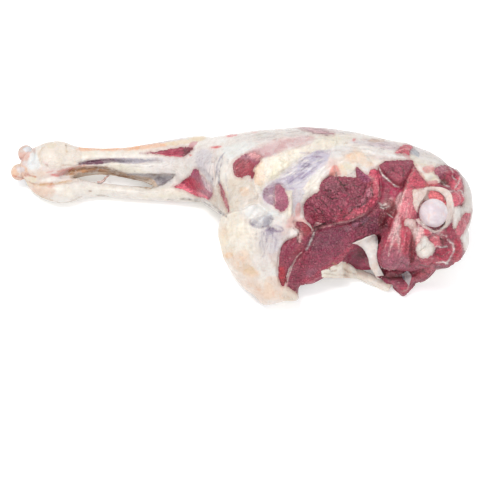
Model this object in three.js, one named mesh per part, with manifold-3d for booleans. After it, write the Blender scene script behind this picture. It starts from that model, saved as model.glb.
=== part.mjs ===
// A raw goat hind leg, lying on its outer side with the cut hip end to the right.
//
// X runs along the leg from the hock to the hip, Y runs from the belly of the thigh to its far edge, and
// Z is up. The flesh is one solid: the thigh, the shank with its heel tendon, and the muscles that the cut
// at the hip lays open. Two bones show, the thigh bone at the hip and the shin bone at the hock, and each
// runs through the flesh to the knee. A strip of flank fat lies under the thigh.
//
// Every soft form is a belly: oval rings along a curve through a few stations, closed by a round end.
// A station is [x, y, z, half width across, half height], in millimetres.

import * as THREE from 'three';
import { mergeVertices } from 'three/addons/utils/BufferGeometryUtils.js';
import Module from 'manifold-3d';

const wasm = await Module();
wasm.setup();

// ---- driving sizes, in millimetres -------------------------------------------------------------------

const HIP_BALL_RADIUS = 14.5; // the head of the thigh bone
const KNUCKLE_RADIUS = 8.8; // the two ridges of the hock joint
const SHAFT_RADIUS = 8; // both bones, at mid length
const SEAT_GAP = 0.35; // clearance of each bone in the flesh
const TABLE = 0; // height of the surface that the leg lies on
const BELOW = 60; // how far the trimming block reaches below the table

const HIP_BALL = [181, -13, 82];

// ---- the flesh, muscle by muscle ---------------------------------------------------------------------

const BELLIES = {
  // The bulk of the thigh, from the calf to the hip.
  thigh: {
    rings: 24,
    sides: 24,
    full: 7,
    square: 2.25,
    stations: [
      [-84, 93, 22, 21, 18],
      [-58, 91, 27, 28, 24],
      [-34, 80, 34, 40, 34],
      [-12, 68, 41, 46, 43],
      [12, 61, 45, 51, 47],
      [36, 54, 48, 57, 50],
      [62, 54, 50, 55, 52],
      [90, 55, 50, 48, 53],
      [118, 51, 49, 45, 52],
      [146, 42, 46, 51, 49],
      [172, 32, 42, 55, 44],
      [194, 27, 38, 53, 40],
      [212, 27, 36, 45, 35],
      [225, 27, 33, 32, 27],
    ],
  },
  // The fat-covered corner of the haunch, which spreads a little on the table.
  haunch: {
    rings: 16,
    sides: 24,
    full: 7,
    square: 2.3,
    foot: 4,
    stations: [
      [34, 52, 46, 56, 46],
      [25, 26, 44, 46, 45],
      [13, -2, 41, 45, 42],
      [10, -25, 36, 36, 37],
      [16, -41, 28, 29, 30],
      [24, -54, 18, 26, 21],
      [32, -67, 8.5, 25, 12],
    ],
  },
  // The shank, from the hock to the knee.
  shank: {
    rings: 24,
    sides: 18,
    full: 6,
    square: 2.3,
    stations: [
      [-247, 89, 17, 13, 12],
      [-229, 96, 20, 23.5, 18],
      [-208, 103, 19, 24, 20.5],
      [-186, 102, 20, 15, 15],
      [-162, 103, 20, 12, 14],
      [-136, 101, 20, 15, 15.5],
      [-112, 100, 21, 21, 17],
      [-86, 101, 23, 24, 20],
      [-58, 98, 28, 27, 24],
      [-32, 88, 33, 32, 30],
    ],
  },
  // The heel, and the tendon that stands clear of the shank up to the calf.
  heel: {
    rings: 24,
    sides: 14,
    full: 6,
    stations: [
      [-240, 84, 12, 9, 9],
      [-221, 77, 13, 13, 12],
      [-200, 71, 12.5, 15, 12.5],
      [-182, 73, 11, 10, 10],
      [-162, 73, 10, 6.5, 6.5],
      [-134, 70.5, 9.5, 6.5, 6.5],
      [-108, 67.5, 9.5, 6.8, 7],
      [-84, 67, 11, 8.5, 10],
      [-58, 67, 16, 13, 14],
      [-36, 64, 22, 15, 19],
    ],
  },
  // The thin web that closes the near end of the gap between shank and tendon.
  web: {
    rings: 8,
    sides: 10,
    full: 3,
    stations: [
      [-118, 84, 15, 5, 5],
      [-98, 83, 16, 10, 8],
      [-70, 80, 20, 14, 14],
    ],
  },
  // The big inner muscle, cut across.
  innerRound: {
    rings: 12,
    sides: 20,
    full: 2.6,
    roll: 43,
    stations: [
      [54, 4, 66, 18, 20],
      [72, 13, 67, 29, 25],
      [92, 17, 68, 34, 26],
      [112, 19, 69, 31, 24],
      [130, 22, 70, 20, 18],
    ],
  },
  // The long dark muscle below it, hanging over the table.
  silverside: {
    rings: 14,
    sides: 16,
    full: 3,
    roll: 58,
    stations: [
      [148, 6, 56, 14, 14],
      [128, 1, 53, 20, 16],
      [104, -11, 47, 24, 18],
      [80, -24, 38, 26, 18],
      [58, -37, 28, 24, 16],
      [40, -48, 17, 18, 13],
    ],
  },
  // The narrow muscle between the haunch fat and the dark one.
  eyeRound: {
    rings: 10,
    sides: 12,
    full: 3,
    stations: [
      [58, -8, 72, 12, 10],
      [52, -20, 61, 13, 13],
      [46, -31, 43, 13, 14],
      [42, -43, 24, 11, 14],
      [40, -54, 9, 9, 9],
    ],
  },
  // The front muscle, beside the hip.
  frontRound: {
    rings: 9,
    sides: 14,
    full: 2.4,
    roll: 30,
    stations: [
      [126, 42, 84, 12, 12],
      [142, 36, 84, 20, 13],
      [157, 33, 84, 20, 13],
      [170, 36, 82, 11, 11],
    ],
  },
  // The mass behind the cut muscles.
  core: {
    rings: 8,
    sides: 12,
    full: 6,
    stations: [
      [40, 8, 40, 24, 32],
      [74, 6, 42, 23, 36],
      [106, 6, 42, 22, 36],
      [136, 2, 42, 22, 34],
      [164, -2, 42, 22, 32],
    ],
  },
  // What lies deep between the cut muscles and the hip.
  deepRound: {
    rings: 8,
    sides: 12,
    full: 3,
    stations: [
      [82, -10, 24, 14, 18],
      [106, -18, 23, 16, 20],
      [134, -26, 24, 16, 22],
    ],
  },
  // The ridge of meat along the hip, from its top down to the table.
  hipRidge: {
    rings: 14,
    sides: 14,
    full: 4,
    stations: [
      [176, 46, 74, 11, 10],
      [168, 26, 79, 13, 12],
      [161, 6, 77, 13, 13],
      [153, -16, 66, 14, 15],
      [142, -35, 50, 15, 15],
      [138, -43, 32, 13, 15],
    ],
  },
  // The meat around the head of the thigh bone.
  hipBlock: {
    rings: 14,
    sides: 20,
    full: 4,
    stations: [
      [132, -22, 40, 22, 24],
      [152, -23, 41, 25, 32],
      [172, -18, 42, 28, 36],
      [190, -12, 40, 31, 36],
      [204, -5, 37, 28, 33],
      [213, 2, 36, 21, 26],
    ],
  },
  // The torn capsule, a collar round the far side of the ball.
  capsule: {
    rings: 14,
    sides: 10,
    full: 8,
    stations: [
      [160, -3, 76, 7, 9],
      [167, 15, 76, 9, 9],
      [185, 21, 76, 9, 10],
      [201, 10, 73, 8, 10],
      [203, -8, 68, 7, 10],
      [194, -20, 62, 7, 9],
    ],
  },
  // The tail of meat that reaches the table in front of the hip.
  hipTail: {
    rings: 10,
    sides: 12,
    full: 4,
    foot: 4,
    stations: [
      [134, -32, 11, 10, 11],
      [148, -43, 8.5, 11, 9],
      [160, -46, 8, 10, 8.5],
      [174, -35, 10, 10, 11],
      [192, -20, 13, 10, 13],
    ],
  },
  // The cut edge of the skin-side membrane, between the dark muscle and the hip.
  fascia: {
    rings: 10,
    sides: 8,
    full: 5,
    stations: [
      [103, -20, 44, 3, 4],
      [114, -21, 47, 4, 5],
      [123, -30, 40, 5, 5],
      [127, -38, 27, 5.5, 5],
      [133, -46, 13, 4.5, 5],
    ],
  },
};

// A strip of flank fat, lying on the table under the thigh. Its cut end is square.
const FLANK_STRIP = {
  rings: 14,
  sides: 10,
  full: 12,
  square: 3,
  stations: [
    [72, -17, 10, 7, 5],
    [90, -24, 7.5, 6.5, 5],
    [108, -31, 5.5, 6, 4.5],
    [126, -41, 4.5, 5.5, 4.5],
    [144, -51, 4, 5, 4],
  ],
};

// ---- the bones ---------------------------------------------------------------------------------------

// Stations from the neck under the ball, along the shaft, to the knee.
const THIGH_BONE = [
  [181, -8, 72, 9, 9],
  [166, 14, 58, 12, 12],
  [136, 28, 52, 9.5, 9.5],
  [88, 42, 48, SHAFT_RADIUS, SHAFT_RADIUS],
  [34, 58, 45, SHAFT_RADIUS + 1, SHAFT_RADIUS + 1],
  [4, 68, 43, 12, 12],
];
// The knob beside the ball, on a short branch of the same bone.
const TROCHANTER = [
  [175, -51, 60, 9, 9.5],
  [174, -36, 50, 8.5, 9],
  [169, -10, 50, 9, 9],
  [166, 12, 56, 9, 9],
];
const SHIN_BONE = [
  [-244, 100, 20, 9, 9],
  [-226, 99, 20, 11, 10],
  [-196, 101, 20, 8.5, 8.5],
  [-150, 102, 20, SHAFT_RADIUS - 0.5, SHAFT_RADIUS - 0.5],
  [-98, 97, 22, SHAFT_RADIUS, SHAFT_RADIUS],
  [-50, 88, 32, 11, 11],
];
const KNUCKLES = [
  [-244, 112, 23],
  [-250, 91, 17],
];

// ---- building ----------------------------------------------------------------------------------------

const UP = new THREE.Vector3(0, 0, 1);

/** A signed power, which squares up an oval as its exponent grows. */
const bulge = (value, exponent) => Math.sign(value) * Math.abs(value) ** (2 / exponent);

/** A closed form of oval rings along the curve through the stations. */
function bellyGeometry({ stations, rings, sides, full = 3, square = 2, foot = square, roll = 0, grow = 0 }) {
  const path = new THREE.CatmullRomCurve3(stations.map(([x, y, z]) => new THREE.Vector3(x, y, z)));
  const sizes = new THREE.CatmullRomCurve3(stations.map(([, , , wide, high]) => new THREE.Vector3(wide, high, 0)));
  const turn = THREE.MathUtils.degToRad(roll);
  const points = [path.getPoint(0)];
  for (let ring = 1; ring < rings; ring += 1) {
    const t = (1 - Math.cos((Math.PI * ring) / rings)) / 2;
    const centre = path.getPoint(t);
    const tangent = path.getTangent(t);
    const side = new THREE.Vector3().crossVectors(tangent, UP).normalize().applyAxisAngle(tangent, -turn);
    const rise = new THREE.Vector3().crossVectors(side, tangent);
    const size = sizes.getPoint(t);
    const taper = (1 - Math.abs(2 * t - 1) ** full) ** (1 / full);
    for (let step = 0; step < sides; step += 1) {
      const angle = (2 * Math.PI * step) / sides;
      const exponent = Math.sin(angle) < 0 ? foot : square;
      const across = (size.x + grow) * taper * bulge(Math.cos(angle), exponent);
      const high = (size.y + grow) * taper * bulge(Math.sin(angle), exponent);
      points.push(centre.clone().addScaledVector(side, across).addScaledVector(rise, high));
    }
  }
  points.push(path.getPoint(1));

  const index = [];
  const last = points.length - 1;
  for (let step = 0; step < sides; step += 1) {
    const next = (step + 1) % sides;
    index.push(0, 1 + step, 1 + next);
    for (let ring = 0; ring < rings - 2; ring += 1) {
      const a = 1 + ring * sides + step;
      const b = 1 + ring * sides + next;
      index.push(a, a + sides, b, b, a + sides, b + sides);
    }
    index.push(last, last - sides + next, last - sides + step);
  }
  return new THREE.BufferGeometry().setFromPoints(points).setIndex(index);
}

/** A closed geometry as a solid that can be joined and cut. */
function solidOf(geometry) {
  const bare = geometry.clone();
  bare.deleteAttribute('normal');
  bare.deleteAttribute('uv');
  const merged = mergeVertices(bare, 1e-4);
  const solid = new wasm.Manifold(
    new wasm.Mesh({
      numProp: 3,
      vertProperties: new Float32Array(merged.attributes.position.array),
      triVerts: new Uint32Array(merged.index.array),
    }),
  );
  return solid;
}

const belly = (spec) => solidOf(bellyGeometry(spec));

function ball([x, y, z], radius, detail) {
  const sphere = new THREE.SphereGeometry(radius, detail, detail / 2);
  return solidOf(sphere.translate(x, y, z));
}

const join = (solids) => solids.reduce((whole, next) => whole.add(next));

/** Trims what would sink into the table, which leaves flat patches to lie on. */
function layOnTable(solid) {
  const block = new THREE.BoxGeometry(800, 600, BELOW);
  return solid.subtract(solidOf(block.translate(0, 0, TABLE - BELOW / 2)));
}

function thighBone(grow) {
  return join([
    belly({ stations: THIGH_BONE, rings: 14, sides: 12, full: 5, grow }),
    belly({ stations: TROCHANTER, rings: 8, sides: 12, full: 3, grow }),
    ball(HIP_BALL, HIP_BALL_RADIUS + grow, 22),
  ]);
}

function shinBone(grow) {
  return join([
    belly({ stations: SHIN_BONE, rings: 14, sides: 12, full: 5, grow }),
    ...KNUCKLES.map((place) => ball(place, KNUCKLE_RADIUS + grow, 14)),
  ]);
}

function flesh() {
  const whole = layOnTable(join(Object.values(BELLIES).map(belly)));
  const strip = belly({ ...FLANK_STRIP, grow: SEAT_GAP });
  return whole.subtract(thighBone(SEAT_GAP)).subtract(shinBone(SEAT_GAP)).subtract(strip);
}

/** The solid as a named mesh with its own material. */
function mesh(name, solid, color, roughness) {
  const { numProp, vertProperties, triVerts } = solid.getMesh();
  const positions = new Float32Array((vertProperties.length / numProp) * 3);
  for (let vertex = 0; vertex < positions.length / 3; vertex += 1) {
    positions.set(vertProperties.subarray(vertex * numProp, vertex * numProp + 3), vertex * 3);
  }
  const geometry = new THREE.BufferGeometry();
  geometry.setAttribute('position', new THREE.BufferAttribute(positions, 3));
  geometry.setIndex(new THREE.BufferAttribute(new Uint32Array(triVerts), 1));
  geometry.computeVertexNormals();
  const material = new THREE.MeshStandardMaterial({ color, roughness, metalness: 0 });
  const made = new THREE.Mesh(geometry, material);
  made.name = name;
  return made;
}

const leg = new THREE.Group();
leg.add(
  mesh('leg_flesh', flesh(), 0xd9b3a8, 0.4),
  mesh('thigh_bone', thighBone(0), 0xd8d2dc, 0.25),
  mesh('shin_bone', shinBone(0), 0xf0d2b8, 0.35),
  mesh('flank_strip', layOnTable(belly(FLANK_STRIP)), 0xf0e2cc, 0.45),
);

// The origin is the middle of the underside.
const box = new THREE.Box3().setFromObject(leg);
const middle = box.getCenter(new THREE.Vector3());
leg.position.set(-middle.x, -middle.y, -box.min.z);

export default leg;
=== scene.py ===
"""A raw goat hind leg on a pale table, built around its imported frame.

The skin of the leg is one piece grown from the frame's own solids. Finer sheets of fat and membrane lie
over the side that the photograph shows, with creases, swellings and steps worked into them in code. The
muscles that the cut lays open, the bones and the loose strips are pieces of their own. Places on the leg are
given as the photograph shows them, in its pixels, and carried onto the solid from there.
"""

import math

import bpy
import numpy as np
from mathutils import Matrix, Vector


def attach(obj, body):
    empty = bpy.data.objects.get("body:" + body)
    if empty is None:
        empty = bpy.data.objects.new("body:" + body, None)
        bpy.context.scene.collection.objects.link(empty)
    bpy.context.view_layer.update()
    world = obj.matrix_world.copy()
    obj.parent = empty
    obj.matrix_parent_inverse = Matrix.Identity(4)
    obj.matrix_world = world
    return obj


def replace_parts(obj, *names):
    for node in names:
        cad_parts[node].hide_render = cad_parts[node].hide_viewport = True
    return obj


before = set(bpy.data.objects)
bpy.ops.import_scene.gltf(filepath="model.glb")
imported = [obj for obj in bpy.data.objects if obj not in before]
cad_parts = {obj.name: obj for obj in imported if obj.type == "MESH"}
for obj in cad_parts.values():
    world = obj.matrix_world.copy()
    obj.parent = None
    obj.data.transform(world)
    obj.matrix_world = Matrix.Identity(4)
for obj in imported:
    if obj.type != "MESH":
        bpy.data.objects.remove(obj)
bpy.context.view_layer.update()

MM = 0.001

# ---- the view ---------------------------------------------------------------------------------------------

PHOTO_SIDE = 500  # width and height of the photograph, in pixels
LENS = 85.0
SENSOR = 36.0
FOCUS = PHOTO_SIDE * LENS / SENSOR  # the lens, in pixels
LOOK_DOWN = math.radians(55)
LOOK_AT = np.array([15.036, -24.199, 0.0]) * MM
STAND_OFF = 1240 * MM
ALONG = np.array([1.0, 0.0, 0.0])
FORWARD = np.array([0.0, math.cos(LOOK_DOWN), -math.sin(LOOK_DOWN)])
UPWARD = np.array([0.0, math.sin(LOOK_DOWN), math.cos(LOOK_DOWN)])
EYE = LOOK_AT - FORWARD * STAND_OFF


def in_photo(points):
    """Where points of the leg show in the photograph, in its pixels."""
    rel = points - EYE
    depth = rel @ FORWARD
    across = PHOTO_SIDE / 2 + FOCUS * (rel @ ALONG) / depth
    down = PHOTO_SIDE / 2 - FOCUS * (rel @ UPWARD) / depth
    return np.stack([across, down], 1)


NEAREST_SEEN = 0.05
FARTHEST_SEEN = 20


def add_camera():
    data = bpy.data.cameras.new("photo_camera")
    data.lens = LENS
    data.sensor_width = SENSOR
    data.clip_start = NEAREST_SEEN
    data.clip_end = FARTHEST_SEEN
    camera = bpy.data.objects.new("photo_camera", data)
    camera.location = EYE
    camera.rotation_euler = (math.pi / 2 - LOOK_DOWN, 0, 0)
    bpy.context.scene.collection.objects.link(camera)
    bpy.context.scene.camera = camera


def add_lamp(name, place, size, watts, colour):
    data = bpy.data.lights.new(name, "AREA")
    data.shape = "DISK"
    data.size = size
    data.energy = watts
    data.color = colour
    lamp = bpy.data.objects.new(name, data)
    lamp.location = place
    lamp.rotation_euler = (-Vector(place)).to_track_quat("-Z", "Y").to_euler()
    bpy.context.scene.collection.objects.link(lamp)


SKY_COLOUR = (0.97, 0.985, 1.0, 1)
SKY_STRENGTH = 0.82
# Lamps: name, place, size, watts, colour.
LAMPS = (
    ("softbox", (-0.45, 0.1, 1.5), 0.7, 13, (1.0, 0.985, 0.96)),
    ("front_fill", (0.5, -1.1, 1.2), 0.8, 6, (1.0, 0.99, 0.98)),
)
TABLE_SIZE = 8.0
TABLE_BELOW = 0.0004  # how far under the leg the table lies, so that the two don't flicker
TABLE_COLOUR = (0.93, 0.935, 0.94, 1)
TABLE_ROUGHNESS = 0.6
TABLE_GLOSS = 0.1
TABLE_GLOW = 0.2


def add_room():
    """Pale table, an even white sky and two soft lamps."""
    world = bpy.data.worlds.new("room")
    world.use_nodes = True
    back = world.node_tree.nodes["Background"]
    back.inputs["Color"].default_value = SKY_COLOUR
    back.inputs["Strength"].default_value = SKY_STRENGTH
    bpy.context.scene.world = world
    bpy.context.scene.view_settings.view_transform = "Standard"
    for lamp in LAMPS:
        add_lamp(*lamp)
    bpy.ops.mesh.primitive_plane_add(size=TABLE_SIZE, location=(0, 0, -TABLE_BELOW))
    table = bpy.context.object
    table.name = "table_top"
    paper = bpy.data.materials.new("white_table")
    paper.use_nodes = True
    shader = paper.node_tree.nodes["Principled BSDF"]
    shader.inputs["Base Color"].default_value = TABLE_COLOUR
    shader.inputs["Roughness"].default_value = TABLE_ROUGHNESS
    shader.inputs["Specular IOR Level"].default_value = TABLE_GLOSS
    shader.inputs["Emission Color"].default_value = (1, 1, 1, 1)
    shader.inputs["Emission Strength"].default_value = TABLE_GLOW
    table.data.materials.append(paper)


# ---- measuring on the photograph --------------------------------------------------------------------------


def smooth(value, low, high):
    """0 below low, 1 above high, and an even rise between."""
    t = np.clip((value - low) / (high - low), 0, 1)
    return t * t * (3 - 2 * t)


def hill(value):
    """1 at nought, falling away evenly to both sides."""
    return np.exp(-value * value)


SPAN_STEPS = 6  # points that a curve puts between two given ones


def curve_through(points, closed=False):
    """Many points on the smooth curve through the given ones."""
    given = np.array(points, float)
    if closed:
        padded = np.vstack([given[-1:], given, given[:2]])
    else:
        padded = np.vstack([2 * given[:1] - given[1:2], given, 2 * given[-1:] - given[-2:-1]])
    t = np.linspace(0, 1, SPAN_STEPS, endpoint=False)[:, None]
    spans = []
    for i in range(len(padded) - 3):
        a, b, c, d = padded[i : i + 4]
        spans.append(
            0.5 * (2 * b + (c - a) * t + (2 * a - 5 * b + 4 * c - d) * t**2 + (3 * b - a - 3 * c + d) * t**3)
        )
    if not closed:
        spans.append(given[-1:])
    return np.vstack(spans)


REACH = 8.0  # how far from an outline distances are still worked out, in pixels
FADED = 2.6  # how many widths from a line its nearness is worked out
TINY = 1e-9


def gap_to_line(spots, line, reach=REACH):
    """Distance of each spot from the line, in pixels, up to reach."""
    gap = np.full(len(spots), reach)
    near = np.flatnonzero(np.all((spots > line.min(0) - reach) & (spots < line.max(0) + reach), 1))
    near = near[np.argsort(spots[near, 0], kind="stable")]
    p = spots[near]
    best = np.full(len(p), reach**2)
    for a, b in zip(line[:-1], line[1:]):
        first = np.searchsorted(p[:, 0], min(a[0], b[0]) - reach)
        last = np.searchsorted(p[:, 0], max(a[0], b[0]) + reach)
        ab = b - a
        off = p[first:last] - a
        t = np.clip((off @ ab) / max(ab @ ab, TINY), 0, 1)
        off = off - t[:, None] * ab
        best[first:last] = np.minimum(best[first:last], (off * off).sum(1))
    gap[near] = np.sqrt(best)
    return gap


def nearness(spots, line, wide):
    """1 on the line, falling away to nought over about that width in pixels to either side."""
    return hill(gap_to_line(spots, curve_through(line), FADED * wide) / wide)


def is_inside(spots, line):
    """Whether each spot lies within the closed line: a ray to its right crosses it an odd number of times."""
    inside = np.zeros(len(spots), bool)
    box = np.flatnonzero(np.all((spots >= line.min(0)) & (spots <= line.max(0)), 1))
    box = box[np.argsort(spots[box, 1], kind="stable")]
    p = spots[box]
    hit = np.zeros(len(p), bool)
    for a, b in zip(line[:-1], line[1:]):
        if a[1] != b[1]:
            first = np.searchsorted(p[:, 1], min(a[1], b[1]))
            last = np.searchsorted(p[:, 1], max(a[1], b[1]))
            level = p[first:last]
            hit[first:last] ^= level[:, 0] < a[0] + (level[:, 1] - a[1]) * (b[0] - a[0]) / (b[1] - a[1])
    inside[box] = hit
    return inside


def depth_inside(spots, outline):
    """Distance inside the closed outline, in pixels, less than nought outside it."""
    ring = curve_through(outline, closed=True)
    line = np.vstack([ring, ring[:1]])
    gap = gap_to_line(spots, line)
    return np.where(is_inside(spots, line), gap, -gap)


def spot_weight(spots, x, y, wide, high, turn=0.0):
    """A soft oval spot of that half width and half height, turned anticlockwise in degrees."""
    a = math.radians(turn)
    dx = spots[:, 0] - x
    dy = y - spots[:, 1]
    u = (dx * math.cos(a) + dy * math.sin(a)) / wide
    v = (dy * math.cos(a) - dx * math.sin(a)) / high
    return np.exp(-(u * u + v * v))


# ---- seeded unevenness ------------------------------------------------------------------------------------

LATTICE_SIDE = 64
SEED = 11
CHANNELS = 4
LATTICE = np.random.default_rng(SEED).random((LATTICE_SIDE, LATTICE_SIDE, LATTICE_SIDE, CHANNELS))
LUMPS_START = 17.3  # where in the lattice each pattern starts
PEBBLES_START = 9.7
ROUGHNESS_TOTAL = 1.6  # brings the sum of the octaves back to about -1 to 1
PEBBLE_EDGE = 1.6  # how steeply a pebble falls off at its edge


def lattice(cell, channel):
    c = cell % LATTICE_SIDE
    return LATTICE[c[:, 0], c[:, 1], c[:, 2], channel]


def lumps(points, size, channel=0):
    """Smooth unevenness from -1 to 1, with lumps about that size."""
    q = (points / size + LUMPS_START).T
    cell = np.floor(q).astype(int)
    f = q - cell
    f = f * f * (3 - 2 * f)
    weight = (1 - f, f)
    index = (cell % LATTICE_SIDE, (cell + 1) % LATTICE_SIDE)
    total = 0
    for corner in range(8):
        x, y, z = corner & 1, corner >> 1 & 1, corner >> 2 & 1
        share = weight[x][0] * weight[y][1] * weight[z][2]
        total = total + share * LATTICE[index[x][0], index[y][1], index[z][2], channel]
    return total * 2 - 1


def rough_lumps(points, size, octaves=3, channel=0):
    """The sum of finer and finer, fainter and fainter lumps, of which the broadest are about that size."""
    layers = (lumps(points, size / 2**i, (channel + i) % CHANNELS) / 2**i for i in range(octaves))
    return sum(layers) / ROUGHNESS_TOTAL


def pebbles(points, size):
    """How close each point is to the edge of its own pebble: 0 inside it, up to 1 between pebbles."""
    q = points / size + PEBBLES_START
    cell = np.floor(q).astype(int)
    first = np.full(len(q), 9.0)
    second = np.full(len(q), 9.0)
    for step in np.ndindex(3, 3, 3):
        home = cell + np.array(step) - 1
        seed = home + np.stack([lattice(home, channel) for channel in (0, 1, 2)], 1)
        gap = np.sqrt(((q - seed) ** 2).sum(1))
        second = np.minimum(second, np.maximum(first, gap))
        first = np.minimum(first, gap)
    return 1 - np.clip((second - first) * PEBBLE_EDGE, 0, 1)


# ---- meshes -----------------------------------------------------------------------------------------------


def pick_only(*pieces):
    bpy.ops.object.select_all(action="DESELECT")
    for piece in pieces:
        piece.select_set(True)
    bpy.context.view_layer.objects.active = pieces[0]


def apply_modifier(piece, kind, **settings):
    """Adds one modifier to the piece and applies it."""
    modifier = piece.modifiers.new(kind.lower(), kind)
    for name, value in settings.items():
        setattr(modifier, name, value)
    pick_only(piece)
    bpy.ops.object.modifier_apply(modifier=modifier.name)


JOINED_WITHIN = 0.00002  # metres


def merged_copy(node, name):
    """A copy of a frame solid, with its loose triangles joined up."""
    piece = bpy.data.objects.new(name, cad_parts[node].data.copy())
    bpy.context.scene.collection.objects.link(piece)
    piece.data.materials.clear()
    pick_only(piece)
    bpy.ops.object.mode_set(mode="EDIT")
    bpy.ops.mesh.select_all(action="SELECT")
    bpy.ops.mesh.remove_doubles(threshold=JOINED_WITHIN)
    bpy.ops.mesh.normals_make_consistent(inside=False)
    bpy.ops.object.mode_set(mode="OBJECT")
    return piece


def places_of(piece):
    """Where the piece's vertices are, one row each."""
    co = np.zeros(len(piece.data.vertices) * 3)
    piece.data.vertices.foreach_get("co", co)
    return co.reshape(-1, 3)


def normals_of(piece):
    """Which way the piece's surface faces at each vertex."""
    out = np.zeros(len(piece.data.vertices) * 3)
    piece.data.vertex_normals.foreach_get("vector", out)
    return out.reshape(-1, 3)


def move_to(piece, places):
    piece.data.vertices.foreach_set("co", places.astype(np.float32).ravel())
    piece.data.update()


def keep_value(piece, name, values):
    """Stores one number a vertex for the materials to read."""
    layer = piece.data.attributes.get(name) or piece.data.attributes.new(name, "FLOAT", "POINT")
    layer.data.foreach_set("value", values.astype(np.float32))


def keep_colour(piece, name, colours):
    layer = piece.data.attributes.get(name) or piece.data.attributes.new(name, "FLOAT_COLOR", "POINT")
    full = np.ones((len(colours), 4), np.float32)
    full[:, :3] = colours
    layer.data.foreach_set("color", full.ravel())


# ---- the skin ---------------------------------------------------------------------------------------------

SKIN_GRAIN = 1.52 * MM  # size of the skin's faces
SOFTENING = 0.5
SOFTEN_ROUNDS = 7


def linked_labels(edges, count):
    """The same number for all vertices that edges link."""
    label = np.arange(count)
    while True:
        low = np.minimum(label[edges[:, 0]], label[edges[:, 1]])
        new = label.copy()
        np.minimum.at(new, edges[:, 0], low)
        np.minimum.at(new, edges[:, 1], low)
        new = new[new]
        if (new == label).all():
            return label
        label = new


def edges_of(piece):
    edges = np.zeros(len(piece.data.edges) * 2, int)
    piece.data.edges.foreach_get("vertices", edges)
    return edges.reshape(-1, 2)


def quads_of(piece):
    corners = np.zeros(len(piece.data.loops), int)
    piece.data.loops.foreach_get("vertex_index", corners)
    return corners.reshape(-1, 4)


def drop_inner_shells(piece):
    """Keeps the biggest connected shell, and drops any bubble left where a bone sat in the flesh."""
    label = linked_labels(edges_of(piece), len(piece.data.vertices))
    names, sizes = np.unique(label, return_counts=True)
    drop = label != names[sizes.argmax()]
    if drop.any():
        pick_only(piece)
        bpy.ops.object.mode_set(mode="EDIT")
        bpy.ops.mesh.select_all(action="DESELECT")
        bpy.ops.object.mode_set(mode="OBJECT")
        piece.data.vertices.foreach_set("select", drop)
        bpy.ops.object.mode_set(mode="EDIT")
        bpy.ops.mesh.delete(type="VERT")
        bpy.ops.object.mode_set(mode="OBJECT")


def grow_skin():
    """One closed skin over the flesh and both bones, without the frame's facets."""
    parts = [merged_copy(node, "skin_" + node) for node in ("leg_flesh", "thigh_bone", "shin_bone")]
    for part in parts:
        apply_modifier(part, "SUBSURF", levels=1, render_levels=1)
    pick_only(*parts)
    bpy.ops.object.join()
    skin = bpy.context.object
    skin.name = "leg_skin"
    skin.data.name = "leg_skin"
    apply_modifier(skin, "REMESH", mode="VOXEL", voxel_size=SKIN_GRAIN)
    drop_inner_shells(skin)
    apply_modifier(skin, "SMOOTH", factor=SOFTENING, iterations=SOFTEN_ROUNDS)
    pick_only(skin)
    bpy.ops.object.shade_smooth()
    return skin


# ---- where things show in the photograph, in its pixels ---------------------------------------------------

# Outlines of bare meat.
BIG_MUSCLE = [
    (304, 209), (306, 201), (311, 197), (319, 192), (321, 185), (325, 179), (331, 175.5), (336, 178),
    (343, 177), (352, 178), (357, 177), (356, 168), (362, 171.5), (368, 175), (371, 170), (377, 170),
    (379.5, 178), (380, 190), (378, 200), (371, 207), (362, 214), (350, 219), (338, 222), (326, 225),
    (317, 226.5), (310, 222), (305, 216),
]
DARK_MUSCLE = [
    (317, 229), (313, 236), (309, 244), (304, 253), (297, 261), (291, 271), (287, 281), (287, 286),
    (296, 287), (304, 285.5), (309, 280), (320, 277), (326, 270), (334, 266), (342, 262), (347, 255),
    (353, 247), (356, 240), (366, 237), (378, 234), (388, 228), (391, 218), (388, 208), (381, 204),
    (372, 211), (360, 218), (348, 223), (334, 226),
]
SIDE_MUSCLE = [
    (297, 222), (304, 223), (311, 229), (312, 236), (308, 244), (302, 252), (295, 260), (290, 268),
    (286, 278), (284, 286), (281, 282), (279.5, 274), (280, 264), (281, 254), (283, 247), (288, 241),
    (293, 238), (297, 236), (299, 231), (296, 227),
]
FRONT_MUSCLE = [
    (378.5, 167), (385, 162), (395, 161), (404, 160.5), (412, 161), (414, 166), (411, 173), (407, 180),
    (402, 186), (395, 186), (387, 180), (381, 173),
]
HOLLOW = [
    (379, 168), (384, 175), (391, 183), (400, 188), (404, 192), (401, 203), (396, 216), (390, 228),
    (380, 232), (376, 222), (378, 206), (381, 196), (381, 182),
]
HIP_MEAT = [
    (414, 166), (419, 172), (424, 179), (431, 184), (440, 183), (438, 176), (434, 172), (437, 167),
    (445, 165), (453, 168), (459, 174), (463, 182), (464, 192), (464, 203), (458, 206), (452, 208),
    (453, 220), (456, 232), (461, 240), (463, 250), (457, 262), (447, 268), (434, 270), (428, 278),
    (418, 287), (408, 294), (402, 295), (395, 288), (388, 280), (378, 277), (372, 270), (366, 262),
    (366, 250), (374, 240), (380, 232), (388, 222), (395, 206), (401, 193), (405, 182),
]
RECESS = [
    (345, 256), (351, 248), (357, 246), (363, 250), (367, 258), (369, 268), (374, 275), (366, 273),
    (356, 269), (347, 263),
]
KNEE_PATCH = [
    (233, 170), (232.5, 166), (234, 161.5), (238, 158.5), (244, 155), (250, 153), (256, 153), (260, 154),
    (261, 157.5), (259.5, 161.5), (256.5, 165.5), (253.5, 168), (254.5, 173), (253, 178.5),
    (251.5, 178.5), (250, 175.5), (246, 176.6), (241, 177.5), (237, 177.5), (234, 174),
]
VEILED_PATCH = [
    (276, 187), (280, 185), (283, 187), (285, 191), (287.5, 197), (288.5, 203), (286.5, 208),
    (282.5, 211.5), (278, 210), (275.5, 206), (275, 199), (275, 192),
]
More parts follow.
